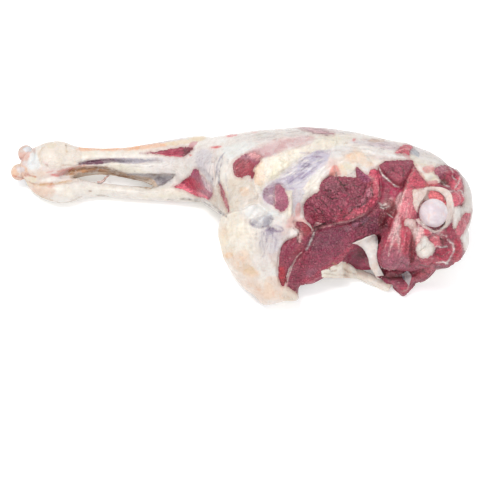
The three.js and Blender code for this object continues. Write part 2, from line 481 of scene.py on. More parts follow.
LANCE = [
    (147, 153.2), (160, 150.8), (172, 148.6), (182, 147.2), (189, 147.3), (193.5, 148.3), (190, 152),
    (186, 155.5), (181, 157), (170, 156), (158, 154.2),
]
CALF_WEDGE = [
    (173.5, 186.5), (178, 184.5), (184, 180), (189, 176.5), (192, 171.5), (195, 168.5), (198, 170),
    (200, 174), (203, 177), (206, 181), (209, 184), (212, 189), (212, 195), (209.5, 199.5), (205, 198.5),
    (198, 196.5), (190, 193), (182, 189.5), (177, 188.5),
]
CREASE_SLIVER = [
    (219.5, 184), (221.5, 185), (224, 191), (226.5, 198), (228.5, 206), (229, 212), (227, 209),
    (224.5, 203), (222, 197), (220, 190),
]
FAR_PATCH = [
    (395, 152.5), (399, 148), (402, 145.5), (407, 144.5), (411, 145.5), (413, 148), (410, 151),
    (409, 155), (404, 153.8), (399, 153.5),
]
EDGE_STREAK = [(421, 145.5), (426, 145), (431, 148), (436, 152), (434, 152.5), (429, 149.5), (424, 147.2)]
SIDE_STREAK = [
    (468, 209), (471, 212), (470, 218), (467, 226), (464, 232), (460, 237), (457, 234), (456, 228),
    (459, 222), (463, 215),
]
OVAL_END = [(450, 196), (456, 192.5), (462, 195), (464, 200), (460, 204), (453, 204)]
TOP_STREAK = [(300, 127.5), (312, 129), (325, 131.5), (334, 134), (322, 133.5), (310, 131)]

CUT_FACE = [
    (304, 209), (306, 201), (313, 195), (320, 190), (326, 180), (334, 177), (345, 179), (356, 178),
    (366, 176), (376, 171), (386, 163), (400, 161), (412, 162), (424, 180), (440, 183), (452, 190),
    (452, 206), (453, 226), (462, 244), (464, 260), (440, 274), (424, 286), (406, 300), (392, 290),
    (380, 278), (364, 274), (348, 268), (338, 270), (326, 282), (310, 292), (296, 292), (287, 286),
    (287, 278), (291, 268), (297, 256), (305, 246), (311, 236), (313, 228), (306, 220),
]

# White tissue that lies over the bare meat: pale outlines within it.
HIP_FAT = [
    (415, 165), (421, 163), (428, 165), (436, 164), (434, 170), (437, 176), (441, 181), (436, 184),
    (428, 184), (423, 178), (418, 171),
]
RIM_BLOCK = [
    (412, 190), (418, 189), (425, 188), (430, 190), (428, 195), (429, 200), (424, 202), (420, 206),
    (418, 212), (414, 208), (413, 198),
]
RIM_CRESCENT = [
    (424, 187.5), (432, 186.5), (440, 188), (447, 191), (451.5, 197), (453.5, 206), (453, 215),
    (450.5, 223), (446, 226), (442, 222), (444, 214), (443.5, 207), (447, 203), (445, 198), (441, 193.5),
    (436, 190.8), (430, 190), (425, 190.5),
]
BLUE_DIAMOND = [(402, 276), (406, 273), (411, 275), (410, 280), (408, 284), (404, 279)]
BALL_SLING = [
    (415, 219), (419, 219), (421, 223), (426, 226), (431, 228), (436, 230.3), (440, 229), (444, 225.5),
    (447, 221), (450, 221), (448, 226), (444, 228.6), (440, 231), (436, 232.4), (430, 230.8),
    (425, 228.6), (419, 224),
]
RIDGE_BLOCK = [
    (404.5, 220), (410, 218.5), (415.5, 220), (416.5, 226), (416, 234), (413, 240), (412, 232),
    (409, 227), (405, 226),
]
KNOB_CAP = [
    (415.5, 248), (417, 244.5), (420, 242), (421, 238), (424.5, 236), (428, 237), (430, 241), (433, 244),
    (435.5, 248), (434, 252.5), (431, 256), (426, 258), (420, 257.5), (416, 253.5),
]
SIDE_VEIL = [
    (464, 178), (470, 186), (473, 200), (471, 212), (464, 213), (458, 222), (454, 230), (452, 220),
    (453, 209), (462, 205), (465, 196),
]

# Creases pressed into the skin: the line, how deep in millimetres, and how wide in pixels.
CREASES = [
    ([(305, 217), (310, 223), (318, 227.5), (328, 226), (338, 224), (350, 221), (362, 216), (372, 208),
        (379, 200), (381, 188), (380, 172)], 2.0, 2.0),
    ([(379, 168), (385, 176), (392, 183), (400, 187.5), (406, 182), (413, 168)], 3.0, 2.4),
    ([(313, 233), (309, 243), (303, 252.5), (296, 260), (290, 269), (286, 280)], 2.6, 2.0),
    ([(283, 286), (280, 280), (279, 266), (281, 252), (286, 243), (293, 238.5), (299, 234), (297, 227),
        (295, 222)], 2.4, 2.0),
    ([(413, 168), (405, 183), (400, 195), (394, 209), (388, 222), (385, 228)], 3.4, 2.8),
    ([(378, 238), (379, 252), (378, 264), (383, 274)], 3.0, 2.4),
    ([(380, 277), (390, 277), (400, 276), (412, 274), (424, 269), (434, 267.5)], 2.4, 2.2),
    ([(402, 276), (406, 283), (410, 277)], 0.6, 1.2),
    ([(420, 181), (415, 190), (412, 202), (413, 214)], 1.6, 2.2),
    ([(415, 228), (413, 240), (414, 255), (410, 266)], 2.2, 2.0),
    ([(441, 178), (444, 182), (449, 183)], 1.4, 1.8),
    ([(421, 174), (426, 173.5), (431, 172.5), (436, 175)], 1.6, 1.3),
    ([(424, 164), (425, 169), (429, 172)], 1.2, 1.2),
    ([(426, 182), (431, 181.5), (437, 178.5)], 1.4, 1.2),
    ([(419, 212.5), (423, 214), (426, 214.5)], 0.8, 1.2),
    ([(400, 232), (402, 242), (399, 254)], 1.0, 1.2), ([(406, 228), (407.5, 238), (406, 250)], 1.2, 1.3),
    ([(392, 236), (389, 246), (386, 256)], 1.0, 1.3), ([(405, 196), (403, 206), (400, 216)], 1.0, 1.3),
    ([(412, 192), (410, 202), (411, 212)], 1.0, 1.3),
    ([(452, 192), (450, 198), (454, 205), (462, 205)], 1.8, 1.8),
    ([(434, 236), (440, 234), (446, 236), (449, 243), (446, 250), (452, 258)], 1.8, 1.8),
    ([(436, 262), (444, 264), (454, 262)], 1.6, 2.2),
    ([(220, 218), (225, 214), (234, 210.5), (244, 208.5), (252, 203.5), (261, 206), (270, 212),
        (281, 214)], 2.0, 2.4),
    ([(82, 163.5), (92, 161.8), (105, 161), (122, 160.6), (142, 160.6), (160, 161)], 3.4, 2.6),
    ([(62, 176), (70, 172), (80, 169.5), (90, 168.5), (100, 169), (108, 172), (120, 174.5), (131, 178),
        (141, 183), (149, 187.5)], 2.6, 2.4),
    ([(33, 184.5), (42, 184.5), (50, 184), (60, 182), (70, 181), (76, 179)], 2.2, 1.9),
    ([(53, 143), (45, 146.5), (39.5, 153), (41, 162), (47, 167.5)], 1.2, 1.8),
    ([(31, 148), (33, 153), (31, 160), (26, 164)], 2.0, 2.0),
    ([(215, 152), (213, 165), (214, 180), (216, 196), (218, 208)], 1.4, 2.0),
    ([(221, 158), (218, 172), (220, 188), (224, 200), (229, 212)], 1.8, 1.8),
    ([(228, 165), (226, 180), (229, 197), (231, 209)], 1.0, 2.0),
    ([(196, 196), (206, 203), (216, 210), (225, 215.5)], 1.6, 1.8),
    ([(244, 192), (251, 189), (256, 194), (259, 201)], 1.2, 2.2), ([(262, 243), (262, 251)], 1.2, 2.2),
    ([(252, 222), (262, 225.5), (272, 220)], 1.4, 2.0),
    ([(262, 191), (272, 182), (288, 172), (303, 162), (318, 156), (330, 151)], 1.6, 5.0),
    ([(346, 146), (360, 147.5), (376, 151.5), (392, 155), (402, 156)], 1.0, 1.6),
    ([(415, 160), (424, 156), (436, 160), (448, 168)], 1.2, 2.2),
]

# Cracks in the cut meat, pressed in and also painted dark: painted shade in them.
CRACKS = (
    [(335, 168.5), (336, 173), (338, 178), (341, 183), (345, 188), (349, 194)],
    [(339, 184), (343, 186), (347, 185)], [(342, 210), (344.5, 214), (343, 219)],
    [(337, 206), (340.5, 209), (342, 213)], [(345, 216), (349, 213), (352, 209)],
    [(352, 207), (357, 206.5), (361, 203.5)], [(349, 200), (354, 198.5), (358, 200)],
    [(366, 186), (364.5, 191), (361, 196), (357, 197)], [(372, 184), (371, 189), (373, 194), (371, 199)],
    [(367, 198), (364, 203), (359, 207)], [(316, 198), (320, 199), (323, 202)],
    [(309, 205), (313, 206), (316, 210)], [(318, 208), (321.5, 211), (323, 215)],
    [(326, 204), (328, 208), (332, 210)], [(330, 213), (333, 216), (338, 216)],
    [(322, 188), (326, 191), (331, 191)], [(352, 183), (356, 186), (361, 186)],
    [(327, 196), (331, 199), (337, 199)], [(350, 223), (354, 227), (360, 226), (364, 223)],
    [(392, 168), (395, 172), (399, 173)], [(401, 166), (404, 171), (403, 176)],
    [(442, 173), (445, 177), (444, 182)], [(450, 176), (454, 178), (457, 183)],
    [(437, 254), (442, 256), (446, 254)], [(440, 238), (443, 241), (443, 246)],
    [(447, 227), (446, 232), (449, 236)], [(402, 262), (407, 266), (414, 266)],
    [(420, 265), (427, 266), (433, 262)], [(455, 246), (457, 251), (456, 257)],
)
CRACK_WIDTH = 0.8
CRACK_DEPTH = 1.3

# Ridges raised on the skin, given in the same way.
RIDGES = [
    ([(254, 196), (256, 182), (259, 170), (266, 161), (278, 156), (292, 150), (308, 146), (322, 142)],
        1.6, 4.5),
    ([(299, 199), (306, 192), (315, 186), (322, 176), (332, 168)], 1.4, 4.0),
    ([(288, 193), (290, 203), (290, 214)], 1.3, 2.2),
    ([(414, 166), (409, 178), (405, 190), (401, 203), (396, 218), (391, 231), (386, 246)], 2.0, 3.2),
    ([(80, 148.6), (100, 148.6), (120, 147.8), (145, 145.8), (170, 142), (192, 139)], 1.0, 2.0),
    ([(86, 165.5), (96, 165), (106, 166), (118, 169)], 1.0, 2.0),
    ([(80, 187), (100, 189.5), (125, 193.5), (150, 193.8), (172, 193), (190, 196)], 1.0, 3.4),
    ([(414, 186), (420, 187), (428, 187.5)], 1.6, 2.4), ([(345, 160), (355, 156), (366, 158)], 1.4, 4.0),
    ([(226, 216), (236, 213), (246, 211.5), (254, 207.5)], 1.8, 3.4),
    ([(404, 221), (410, 221.5), (415, 223)], 1.2, 2.6), ([(398, 226), (396, 238), (397, 250)], 0.9, 2.0),
    ([(406, 230), (405, 244), (402, 258)], 1.0, 2.4),
]

# Swellings, or hollows where the height is negative: x, y, half width, half height, turn, millimetres.
SWELLINGS = [
    (52, 154, 11, 10, 0, 2.4), (56, 193, 17, 7, -10, 1.6), (30, 176, 9, 7, 0, 1.0),
    (72, 150, 8, 6, 0, -0.8), (157, 180, 12, 4.2, 8, -5.0), (196, 184, 12, 8, -30, -1.8),
    (172, 152, 18, 3.2, 3, -1.4), (246, 165, 11, 11, 40, -1.8), (276, 197, 11, 12, 0, 1.6),
    (271, 229, 4, 3.5, 0, 1.6), (234, 240, 14, 20, 10, 1.6), (226, 256, 6, 6, 0, 1.0),
    (247, 268, 9, 6, 0, -1.2), (262, 286, 12, 8, -20, 1.0), (362, 158, 10, 7, 0, 1.6),
    (436, 172, 5, 5, 0, 2.2), (454, 174, 5, 6, 0, 2.2), (444, 180, 3.4, 2.6, 0, -1.5),
    (457, 198, 6, 5, 0, 2.6), (460, 186, 5, 6, 0, 1.2), (456, 250, 6, 10, 0, 2.6),
    (444, 243, 4, 5, 0, 2.0), (443, 256, 7, 6, 0, 2.4), (427, 231, 4.5, 4, 0, 2.2),
    (417, 240, 3, 7, 0, 1.0), (464, 222, 5, 13, -22, 1.6), (426, 173, 7, 6, 0, 1.8),
    (404, 149, 8, 5, 0, 1.2), (420, 263, 14, 5, 10, 2.0), (392, 262, 10, 10, 0, 1.8),
    (407, 277, 4.5, 4.5, 0, -1.0), (355, 259, 9, 8, 0, -2.4), (386, 220, 5, 10, 0, -1.6),
    (388, 196, 7, 7, 0, -1.4), (334, 172, 6, 5, 0, 1.2), (245, 191, 5, 5, 0, 0.8),
]

# Sheets of fat that end in a low step: outline, height in millimetres, width of the step in pixels.
HAUNCH_FAT = [
    (224, 214), (229, 211.5), (235, 210), (240, 210.5), (245, 208.5), (251, 204), (257, 205), (254, 212),
    (247, 219), (247, 230), (251, 240), (253, 252), (258, 262), (266, 273), (277, 286), (284, 302),
    (262, 312), (238, 296), (218, 264), (212, 240), (215, 222),
]
THIGH_FAT = [
    (256, 197), (255, 184), (254.5, 174), (254, 169), (258, 165), (261, 161), (264, 158), (272, 156.5),
    (282, 153), (292, 150), (303, 147), (314, 143), (324, 140), (334, 139), (337, 145), (330, 149),
    (318, 151), (306, 155), (297, 160), (288, 167), (279, 174), (271, 180), (264, 187), (260, 194),
]
NEAR_FAT = [
    (298, 201), (300, 193), (307, 188), (315, 182), (320, 175), (328, 167), (336, 162), (345, 159),
    (356, 161), (358, 168), (350, 175), (343, 176), (334, 173), (327, 178), (321, 184), (318, 192),
    (309, 197), (303, 204),
]
PEACH_FAT = [
    (344, 158), (350, 152.5), (358, 153), (366, 157), (373, 163), (379, 164), (374, 168), (366, 166),
    (357, 163.5), (350, 163),
]
FAR_MEMBRANE = [
    (340, 148), (356, 144), (372, 147), (388, 152), (404, 154), (400, 158), (384, 158), (368, 153),
    (352, 151),
]
STEPS = (
    (HAUNCH_FAT, 1.7, 3.0), (THIGH_FAT, 1.6, 2.2), (NEAR_FAT, 1.2, 2.2), (PEACH_FAT, 1.2, 2.4),
    (FAR_MEMBRANE, 0.7, 1.6), (KNEE_PATCH, -1.0, 2.0), (LANCE, -1.0, 1.6), (CALF_WEDGE, -1.2, 2.0),
    (HIP_FAT, 1.4, 2.2), (RIM_BLOCK, 1.2, 2.0), (RIM_CRESCENT, 1.2, 2.2), (BALL_SLING, 0.8, 2.0),
    (KNOB_CAP, 2.6, 5.0), (SIDE_STREAK, 0.9, 2.0), (FAR_PATCH, 0.9, 2.0), (RIDGE_BLOCK, 0.9, 1.6),
)

# ---- colours ----------------------------------------------------------------------------------------------

LIGHT_ON_TABLE = 1.2  # how much brighter than its own colour a level surface shows
GLARE = 0.044  # what the moist surface mirrors of the white room
LIGHT_ON_MEAT = 0.93
MEAT_GLARE = np.array([0.060, 0.063, 0.054])
DARKEST = 0.004


def shade(red, green, blue, glare=GLARE, light=LIGHT_ON_TABLE):
    """The colour of a surface that shows as this red, green and blue (0 to 255) under the room's light."""
    seen = np.array([red, green, blue]) / 255
    linear = np.where(seen <= 0.04045, seen / 12.92, ((seen + 0.055) / 1.055) ** 2.4)  # the sRGB curve
    return np.maximum(linear - glare, DARKEST) / light


def meat(red, green, blue):
    """The same for bare meat, which is wetter and so mirrors more."""
    return shade(red, green, blue, MEAT_GLARE, LIGHT_ON_MEAT)


CREAM = shade(248, 240, 224)
YELLOW_FAT = shade(250, 233, 200)
TALLOW = shade(243, 236, 208)
PEACH = shade(242, 207, 180)
APRICOT = shade(240, 192, 158)
TAN = shade(222, 193, 160)
BROWN = shade(168, 128, 98)
RUST = shade(190, 98, 62)
MILK = shade(245, 240, 235)
PEARL = shade(230, 222, 216)
ASH = shade(206, 200, 198)
SLATE = shade(160, 158, 172)
ICE = shade(232, 240, 246)
LILAC = shade(204, 198, 214)
VIOLET = shade(158, 142, 176)
MAUVE = shade(196, 160, 170)
PLUM = shade(140, 104, 122)
ROSE = shade(226, 178, 174)
PINK = shade(238, 208, 202)
CORAL = shade(224, 118, 112)
SCARLET = shade(222, 70, 74)

WINE = meat(146, 80, 92)
DARK_WINE = meat(120, 66, 80)
GRAPE = meat(134, 76, 90)
CRIMSON = meat(158, 66, 78)
CHERRY = meat(186, 78, 90)
BRICK = meat(190, 100, 104)
SALMON = meat(206, 128, 130)
MAROON = meat(96, 48, 62)
BLOOD = meat(88, 40, 54)
DUSK_ROSE = meat(176, 128, 142)

# Colours of fat and membrane by place: colour, x, y, half width, half height, turn, strength.
COAT_TINTS = [
    # haunch
    (CREAM, 236, 236, 20, 34, 0, 1.0), (YELLOW_FAT, 222, 246, 6, 18, 0, 0.8),
    (PEACH, 228, 256, 6, 5, 0, 0.8), (PEACH, 224, 232, 4, 8, 0, 0.4), (PEACH, 246, 284, 16, 12, -25, 0.6),
    (TAN, 247, 266, 7, 8, 0, 0.55), (TALLOW, 246, 254, 5, 5, 0, 0.5), (PEACH, 256, 292, 12, 8, 0, 0.55),
    (PEACH, 272, 296, 20, 8, 0, 0.55), (CREAM, 268, 280, 8, 8, 0, 0.5), (TAN, 289, 294, 8, 6, 0, 0.45),
    (APRICOT, 259, 290, 3, 2, 0, 0.7), (MILK, 252, 212, 12, 7, 10, 0.9),
    (PEARL, 264, 252, 12, 20, 0, 0.8), (MILK, 272, 266, 7, 12, 0, 0.6), (ASH, 260, 221, 12, 6, 5, 0.8),
    (SLATE, 256, 223, 6, 3, -10, 0.8), (SLATE, 266, 222, 5, 4, 30, 0.8),
    (PLUM, 271, 229, 3.4, 2.6, 0, 0.9), (LILAC, 276, 234, 8, 5, 0, 0.8), (LILAC, 274, 246, 6, 10, 0, 0.7),
    (VIOLET, 262, 244, 2.4, 5, 10, 0.6), (ASH, 268, 238, 8, 8, 0, 0.4), (PINK, 274, 256, 5, 8, 0, 0.5),
    (CREAM, 286, 206, 3, 14, 8, 0.8), (CREAM, 291, 216, 3, 10, -8, 0.7), (PINK, 294, 224, 8, 5, 0, 0.8),
    (CORAL, 297, 219, 7, 2.6, -30, 0.7), (CORAL, 290, 225, 3, 3, 0, 0.6),
    (CORAL, 298, 208, 2.2, 7, 0, 0.7), (PINK, 283, 232, 6, 8, 0, 0.5),
    # side of the thigh
    (CREAM, 225, 180, 12, 34, 0, 0.5), (ASH, 238, 150, 12, 8, 30, 0.35), (MILK, 232, 148, 12, 10, 0, 0.6),
    (TALLOW, 274, 168, 17, 11, 30, 0.9), (CREAM, 268, 176, 10, 10, 0, 0.7),
    (TALLOW, 286, 160, 14, 5, 24, 0.7), (PEACH, 260, 172, 3.4, 11, 0, 0.8),
    (APRICOT, 244, 190, 5, 5, 0, 0.5), (PEARL, 252, 190, 8, 12, 0, 0.6), (ASH, 241, 200, 4, 8, -20, 0.5),
    (PLUM, 258, 194, 1.2, 4, 10, 0.5), (TALLOW, 230, 200, 7, 12, 0, 0.7),
    (PEARL, 296, 190, 14, 12, 30, 0.8), (LILAC, 300, 171, 32, 9, 36, 1.0),
    (VIOLET, 290, 183, 18, 3.5, 28, 0.55), (VIOLET, 274, 184, 10, 3.5, 42, 0.6),
    (VIOLET, 312, 160, 14, 3, 30, 0.45), (LILAC, 296, 204, 6, 9, 0, 0.6),
    (CREAM, 312, 186, 11, 8, 40, 0.8), (CREAM, 302, 196, 6, 9, 0, 0.5), (MILK, 330, 160, 12, 6, 30, 0.6),
    (VIOLET, 266, 198, 7, 8, 0, 0.5), (PEARL, 268, 199, 3, 3, 0, 0.5),
    # top of the thigh
    (PEARL, 290, 136, 60, 9, 4, 0.8), (ROSE, 284, 146, 20, 6, 16, 0.5), (TALLOW, 332, 141, 22, 6, 8, 0.8),
    (MAUVE, 322, 130, 20, 2.2, -6, 0.7), (PLUM, 313, 131, 12, 1.6, -8, 0.5),
    (ASH, 262, 139, 18, 2, 12, 0.5), (CREAM, 300, 150, 14, 6, 22, 0.5),
    (BROWN, 377, 140, 7, 1.4, -4, 0.5), (MAUVE, 382, 144, 16, 3, -10, 0.6),
    (LILAC, 360, 143, 16, 3, -10, 0.4), (MILK, 372, 150, 22, 3, -14, 0.8),
    (PEACH, 354, 156, 10, 6, 0, 0.9), (APRICOT, 350, 156, 5, 4, 0, 0.4), (TALLOW, 345, 168, 9, 6, 0, 0.8),
    (CREAM, 372, 160, 10, 5, -30, 0.7), (ROSE, 382, 158, 14, 2, -8, 0.5), (CORAL, 334, 169, 4, 4, 0, 0.8),
    (PINK, 332, 163, 7, 6, 0, 0.7), (PINK, 372, 165, 6, 3, -30, 0.6), (SLATE, 414, 151, 4, 3, 0, 0.8),
    (LILAC, 420, 154, 7, 4, 0, 0.6), (ROSE, 402, 156, 8, 2, 0, 0.5), (PEARL, 400, 158, 16, 3, 0, 0.5),
    # far side of the hip
    (MILK, 424, 158, 10, 5, -20, 0.8), (PEARL, 440, 158, 14, 8, -30, 0.8),
    (ASH, 452, 164, 10, 3, -40, 0.5), (TALLOW, 425, 170, 10, 6, 0, 0.8), (CORAL, 421, 170, 3, 3, 0, 0.4),
    (YELLOW_FAT, 430, 177, 6, 5, 0, 0.7), (ROSE, 431, 167, 3, 4, 0, 0.6),
    (PEARL, 468, 196, 6, 18, 0, 0.9), (LILAC, 462, 178, 4, 12, 10, 0.5), (MILK, 460, 214, 6, 8, 30, 0.7),
    (CREAM, 456, 230, 4, 8, 0, 0.6),
    # hip
    (PINK, 417, 195, 7, 8, 0, 0.9), (CREAM, 420, 192, 5, 3, 0, 0.5), (MILK, 432, 231, 12, 3, 0, 0.9),
    (PINK, 410, 222, 6, 4, 0, 0.9), (SLATE, 406, 277, 5, 5, 0, 0.9),
    # knee
    (ASH, 207, 158, 12, 8, 20, 0.7), (LILAC, 200, 160, 7, 8, 0, 0.6), (MAUVE, 206, 168, 6, 8, 0, 0.35),
    (MILK, 212, 144, 14, 6, 10, 0.7), (PINK, 214, 170, 2.4, 20, 0, 0.4), (CREAM, 214, 198, 6, 14, 0, 0.8),
    # the slate spots on this line and the next: painted shade in the knee's creases
    (PINK, 216, 192, 3, 4, 0, 0.4), (SLATE, 217, 172, 1.6, 10, -6, 0.5), (SLATE, 222, 164, 4, 2, 30, 0.3),
    (SLATE, 224, 196, 1.6, 10, 12, 0.5), (ROSE, 208, 150, 8, 2, 0, 0.3),
    # shank
    (CREAM, 120, 152, 60, 7, 4, 0.7), (APRICOT, 96, 148.5, 16, 2.2, -2, 0.5),
    (APRICOT, 138, 147, 22, 3, 3, 0.75), (APRICOT, 172, 143, 20, 2.4, 10, 0.5),
    (PEACH, 84, 149, 10, 3, 0, 0.5), (CREAM, 86, 154, 14, 4, 0, 0.5), (ROSE, 150, 152.6, 7, 1.2, 0, 0.6),
    (ROSE, 178, 144, 12, 1.5, 10, 0.4), (LILAC, 160, 160, 20, 2.4, 0, 0.6),
    (VIOLET, 130, 160.5, 18, 1.8, 0, 0.5), (PLUM, 98, 161.6, 16, 2.0, 3, 0.95),
    (PLUM, 88, 162.6, 8, 1.5, 10, 0.6), (MILK, 150, 166, 26, 5, 0, 0.8),
    (PEARL, 184, 163, 14, 6, 10, 0.7), (TALLOW, 118, 167, 16, 4, -4, 0.7),
    (TALLOW, 132, 172, 16, 4, -8, 0.5), (TAN, 110, 172, 16, 3, -10, 0.7),
    (BROWN, 92, 169, 14, 1.8, 4, 0.75), (BROWN, 72, 171, 6, 2.2, 20, 0.7),
    (BROWN, 104, 168.4, 6, 1.6, 0, 0.6), (TAN, 88, 170.6, 18, 2.6, 0, 0.7),
    (TAN, 130, 178, 14, 2.4, -16, 0.7), (TAN, 146, 184, 8, 4, -16, 0.7),
    # the slate spot at 164, 180 and the ash spots on the next line: painted shade in the web between the
    # shank and the tendon
    (BROWN, 128, 176.5, 16, 1.0, -16, 0.5), (SLATE, 164, 180, 8, 4.4, 12, 0.95),
    (ASH, 150, 177, 12, 2.6, 0, 0.8), (ASH, 140, 174, 14, 1.5, -4, 0.5),
    (CREAM, 140, 190, 60, 6, -1, 0.6), (CREAM, 190, 196, 16, 6, -10, 0.6),
    (TALLOW, 160, 196, 20, 3, 0, 0.4), (ROSE, 178, 186, 6, 3, 0, 0.5),
    # hock
    (TALLOW, 53, 153, 14, 12, 0, 0.6), (ASH, 53, 144, 7, 2.6, 0, 0.4), (TAN, 39.5, 157, 1.6, 8, 10, 0.5),
    (TAN, 50, 144, 8, 1.6, 0, 0.4), (ICE, 34, 160, 6, 6, 0, 1.0), (ICE, 39, 164, 4, 4, 0, 0.6),
    (PINK, 52, 168, 14, 2.4, 4, 0.7), (CREAM, 60, 192, 26, 8, 0, 0.6), (PEACH, 28, 180, 10, 6, -30, 0.7),
    (PEACH, 40, 174, 10, 4, 0, 0.7), (CORAL, 60, 173.4, 8, 1.6, 12, 0.75),
    (CORAL, 54, 175, 4, 1.3, -10, 0.7), (RUST, 26, 173, 2.6, 2.0, 0, 0.9),
    (RUST, 21, 177, 6, 1.0, -12, 0.7), (RUST, 31, 175.6, 4, 1.0, -24, 0.6),
    (APRICOT, 44, 184, 12, 2.0, 3, 0.7), (RUST, 51, 184.4, 2.6, 1.4, 0, 0.7),
    (APRICOT, 66, 181.4, 8, 1.6, 6, 0.6), (PEACH, 38, 192, 8, 4, -20, 0.4),
    (ROSE, 24, 164, 4, 2, 30, 0.6),
    # small marks
    (BROWN, 66, 146, 1.2, 1.6, 0, 0.9), (BROWN, 46.5, 165.5, 1.3, 1.2, 0, 0.9),
    (BROWN, 75, 157.5, 1.3, 0.9, 0, 0.5), (BROWN, 79, 158, 1.3, 0.9, 0, 0.5),
    (ASH, 90, 191, 2.4, 0.8, 0, 0.8), (SCARLET, 215.5, 147, 4.4, 1.1, 4, 1.0),
    (SCARLET, 231.5, 136, 4.6, 0.9, 10, 1.0), (SCARLET, 354.5, 140, 1.7, 1.6, 0, 1.0),
    (SCARLET, 190.5, 155, 1.2, 1.0, 0, 0.8), (SCARLET, 243.5, 260, 1.0, 1.3, 0, 0.9),
    (SCARLET, 273.5, 294, 0.9, 2.2, 0, 0.7), (CORAL, 283.5, 291, 1.4, 6, 4, 0.9),
    (CORAL, 255, 132.6, 4, 0.9, 5, 0.4),
]

# Colours of bare meat by place, given in the same way.
LEAN_TINTS = [
    (WINE, 335, 195, 34, 28, 0, 0.6), (CHERRY, 374, 180, 6, 14, 0, 0.8),
    (CHERRY, 352, 213, 16, 5, 12, 0.7), (CHERRY, 318, 218, 8, 6, 0, 0.35),
    (GRAPE, 330, 240, 26, 12, 20, 0.7), (DARK_WINE, 368, 221, 16, 9, 15, 0.6),
    (GRAPE, 305, 262, 14, 14, 45, 0.5), (WINE, 300, 280, 14, 8, 0, 0.5),
    (CRIMSON, 296, 248, 9, 20, 25, 0.6), (CRIMSON, 304, 230, 8, 6, 0, 0.7),
    (CRIMSON, 283, 274, 4, 10, 0, 0.9), (MAROON, 297, 238, 2, 6, 10, 0.6),
    (WINE, 396, 172, 16, 10, 0, 0.7), (MAROON, 386, 176, 4, 8, 20, 0.3),
    (CRIMSON, 396, 190, 6, 5, 0, 0.8), (DARK_WINE, 384, 193, 6, 12, 0, 0.7),
    (CRIMSON, 386, 220, 8, 9, 0, 0.6), (MAROON, 381, 207, 3, 4, 0, 0.7),
    (BRICK, 402, 208, 8, 26, 12, 0.85), (SALMON, 398, 212, 5, 16, 12, 0.7),
    (SALMON, 400, 238, 10, 16, 8, 0.6), (BRICK, 415, 185, 8, 12, 0, 0.8),
    (BRICK, 405, 230, 8, 16, 0, 0.5), (CHERRY, 392, 250, 14, 14, 0, 0.6), (WINE, 392, 266, 14, 7, 0, 0.6),
    (WINE, 408, 262, 12, 8, 0, 0.5), (CHERRY, 430, 262, 12, 6, 0, 0.6),
    (CORAL, 434, 195, 9, 5, -30, 0.95), (BRICK, 424, 200, 6, 8, 0, 0.5), (CORAL, 427, 231, 4, 3, 0, 0.8),
    (BRICK, 418, 236, 5, 8, 0, 0.7), (CHERRY, 436, 240, 5, 5, 0, 0.6), (CRIMSON, 446, 232, 5, 8, 0, 0.7),
    (CHERRY, 444, 255, 8, 8, 0, 0.6), (BRICK, 456, 250, 6, 12, 0, 0.6),
    (DUSK_ROSE, 439, 170, 5, 4, 0, 0.7), (CHERRY, 450, 178, 6, 8, 0, 0.7),
    (MAROON, 444.5, 181, 3.4, 3, 0, 0.8), (CRIMSON, 447, 184, 5, 3, 0, 0.6),
    (BRICK, 460, 186, 4, 8, 0, 0.5), (CHERRY, 457, 198, 6, 5, 0, 0.7), (BRICK, 464, 222, 6, 14, -20, 0.8),
    (WINE, 402, 284, 10, 8, 0, 0.5), (CHERRY, 404, 290, 5, 5, 0, 0.6), (BRICK, 422, 274, 12, 4, 22, 0.6),
    (MAROON, 388, 276, 10, 2.6, -4, 0.7), (DARK_WINE, 354, 260, 14, 10, 0, 0.9),
    # the maroon spot at 361, 253 is a painted shadow by the edge of the fascia sheet
    (MAROON, 361, 253, 6, 7, 0, 0.8), (PLUM, 440, 267, 6, 2, 0, 0.6),
    # side
    (CRIMSON, 240, 172, 9, 8, 0, 0.5), (DUSK_ROSE, 252, 156, 12, 5, 26, 0.7),
    (SALMON, 270, 150, 12, 6, 20, 0.7), (PINK, 292, 145, 22, 8, 12, 0.85),
    (DUSK_ROSE, 276, 195, 16, 18, 0, 0.85), (MAUVE, 268, 192, 7, 8, 0, 0.6),
    (WINE, 172, 152, 20, 6, 0, 0.5), (MAROON, 187, 151, 4, 4, 0, 0.6),
    (CRIMSON, 170, 154, 14, 1.6, 0, 0.5), (CHERRY, 190, 191, 16, 4.5, -22, 0.9),
    (GRAPE, 200, 182, 8, 8, 0, 0.7), (PLUM, 207, 186, 5, 9, 0, 0.6), (CHERRY, 196, 173, 5, 4, 0, 0.4),
    (BRICK, 224, 200, 4, 14, 0, 0.5), (CHERRY, 404, 149, 8, 5, 0, 0.7), (SALMON, 428, 149, 10, 4, 0, 0.7),
    (MAUVE, 316, 131, 20, 4, 0, 0.9),
]

# ---- sculpting --------------------------------------------------------------------------------------------

HIP_BALL = np.array([196.04, -37.2, 82.0]) * MM
HIP_BALL_RADIUS = 14.5 * MM
KNUCKLES = (np.array([-228.96, 87.8, 23.0]) * MM, np.array([-234.96, 66.8, 17.0]) * MM)
KNUCKLE_RADIUS = 8.8 * MM
BONE_STANDS_OUT = 0.6 * MM
BESIDE_BONE = (0.3 * MM, 1.7 * MM)  # how far from a bone the skin starts and stops to rise again
BONE_ENDS = ((HIP_BALL, HIP_BALL_RADIUS), *((middle, KNUCKLE_RADIUS) for middle in KNUCKLES))


def facing_eye(places, normals):
    """1 where the surface is seen squarely in the photograph, down to 0 where it turns away."""
    back = EYE - places
    back /= np.linalg.norm(back, axis=1)[:, None]
    return (normals * back).sum(1)


FULLY_SEEN = 0.28  # how squarely a place has to face the view to get the whole of its relief


def seen_share(places, normals):
    return smooth(facing_eye(places, normals), 0.0, FULLY_SEEN)


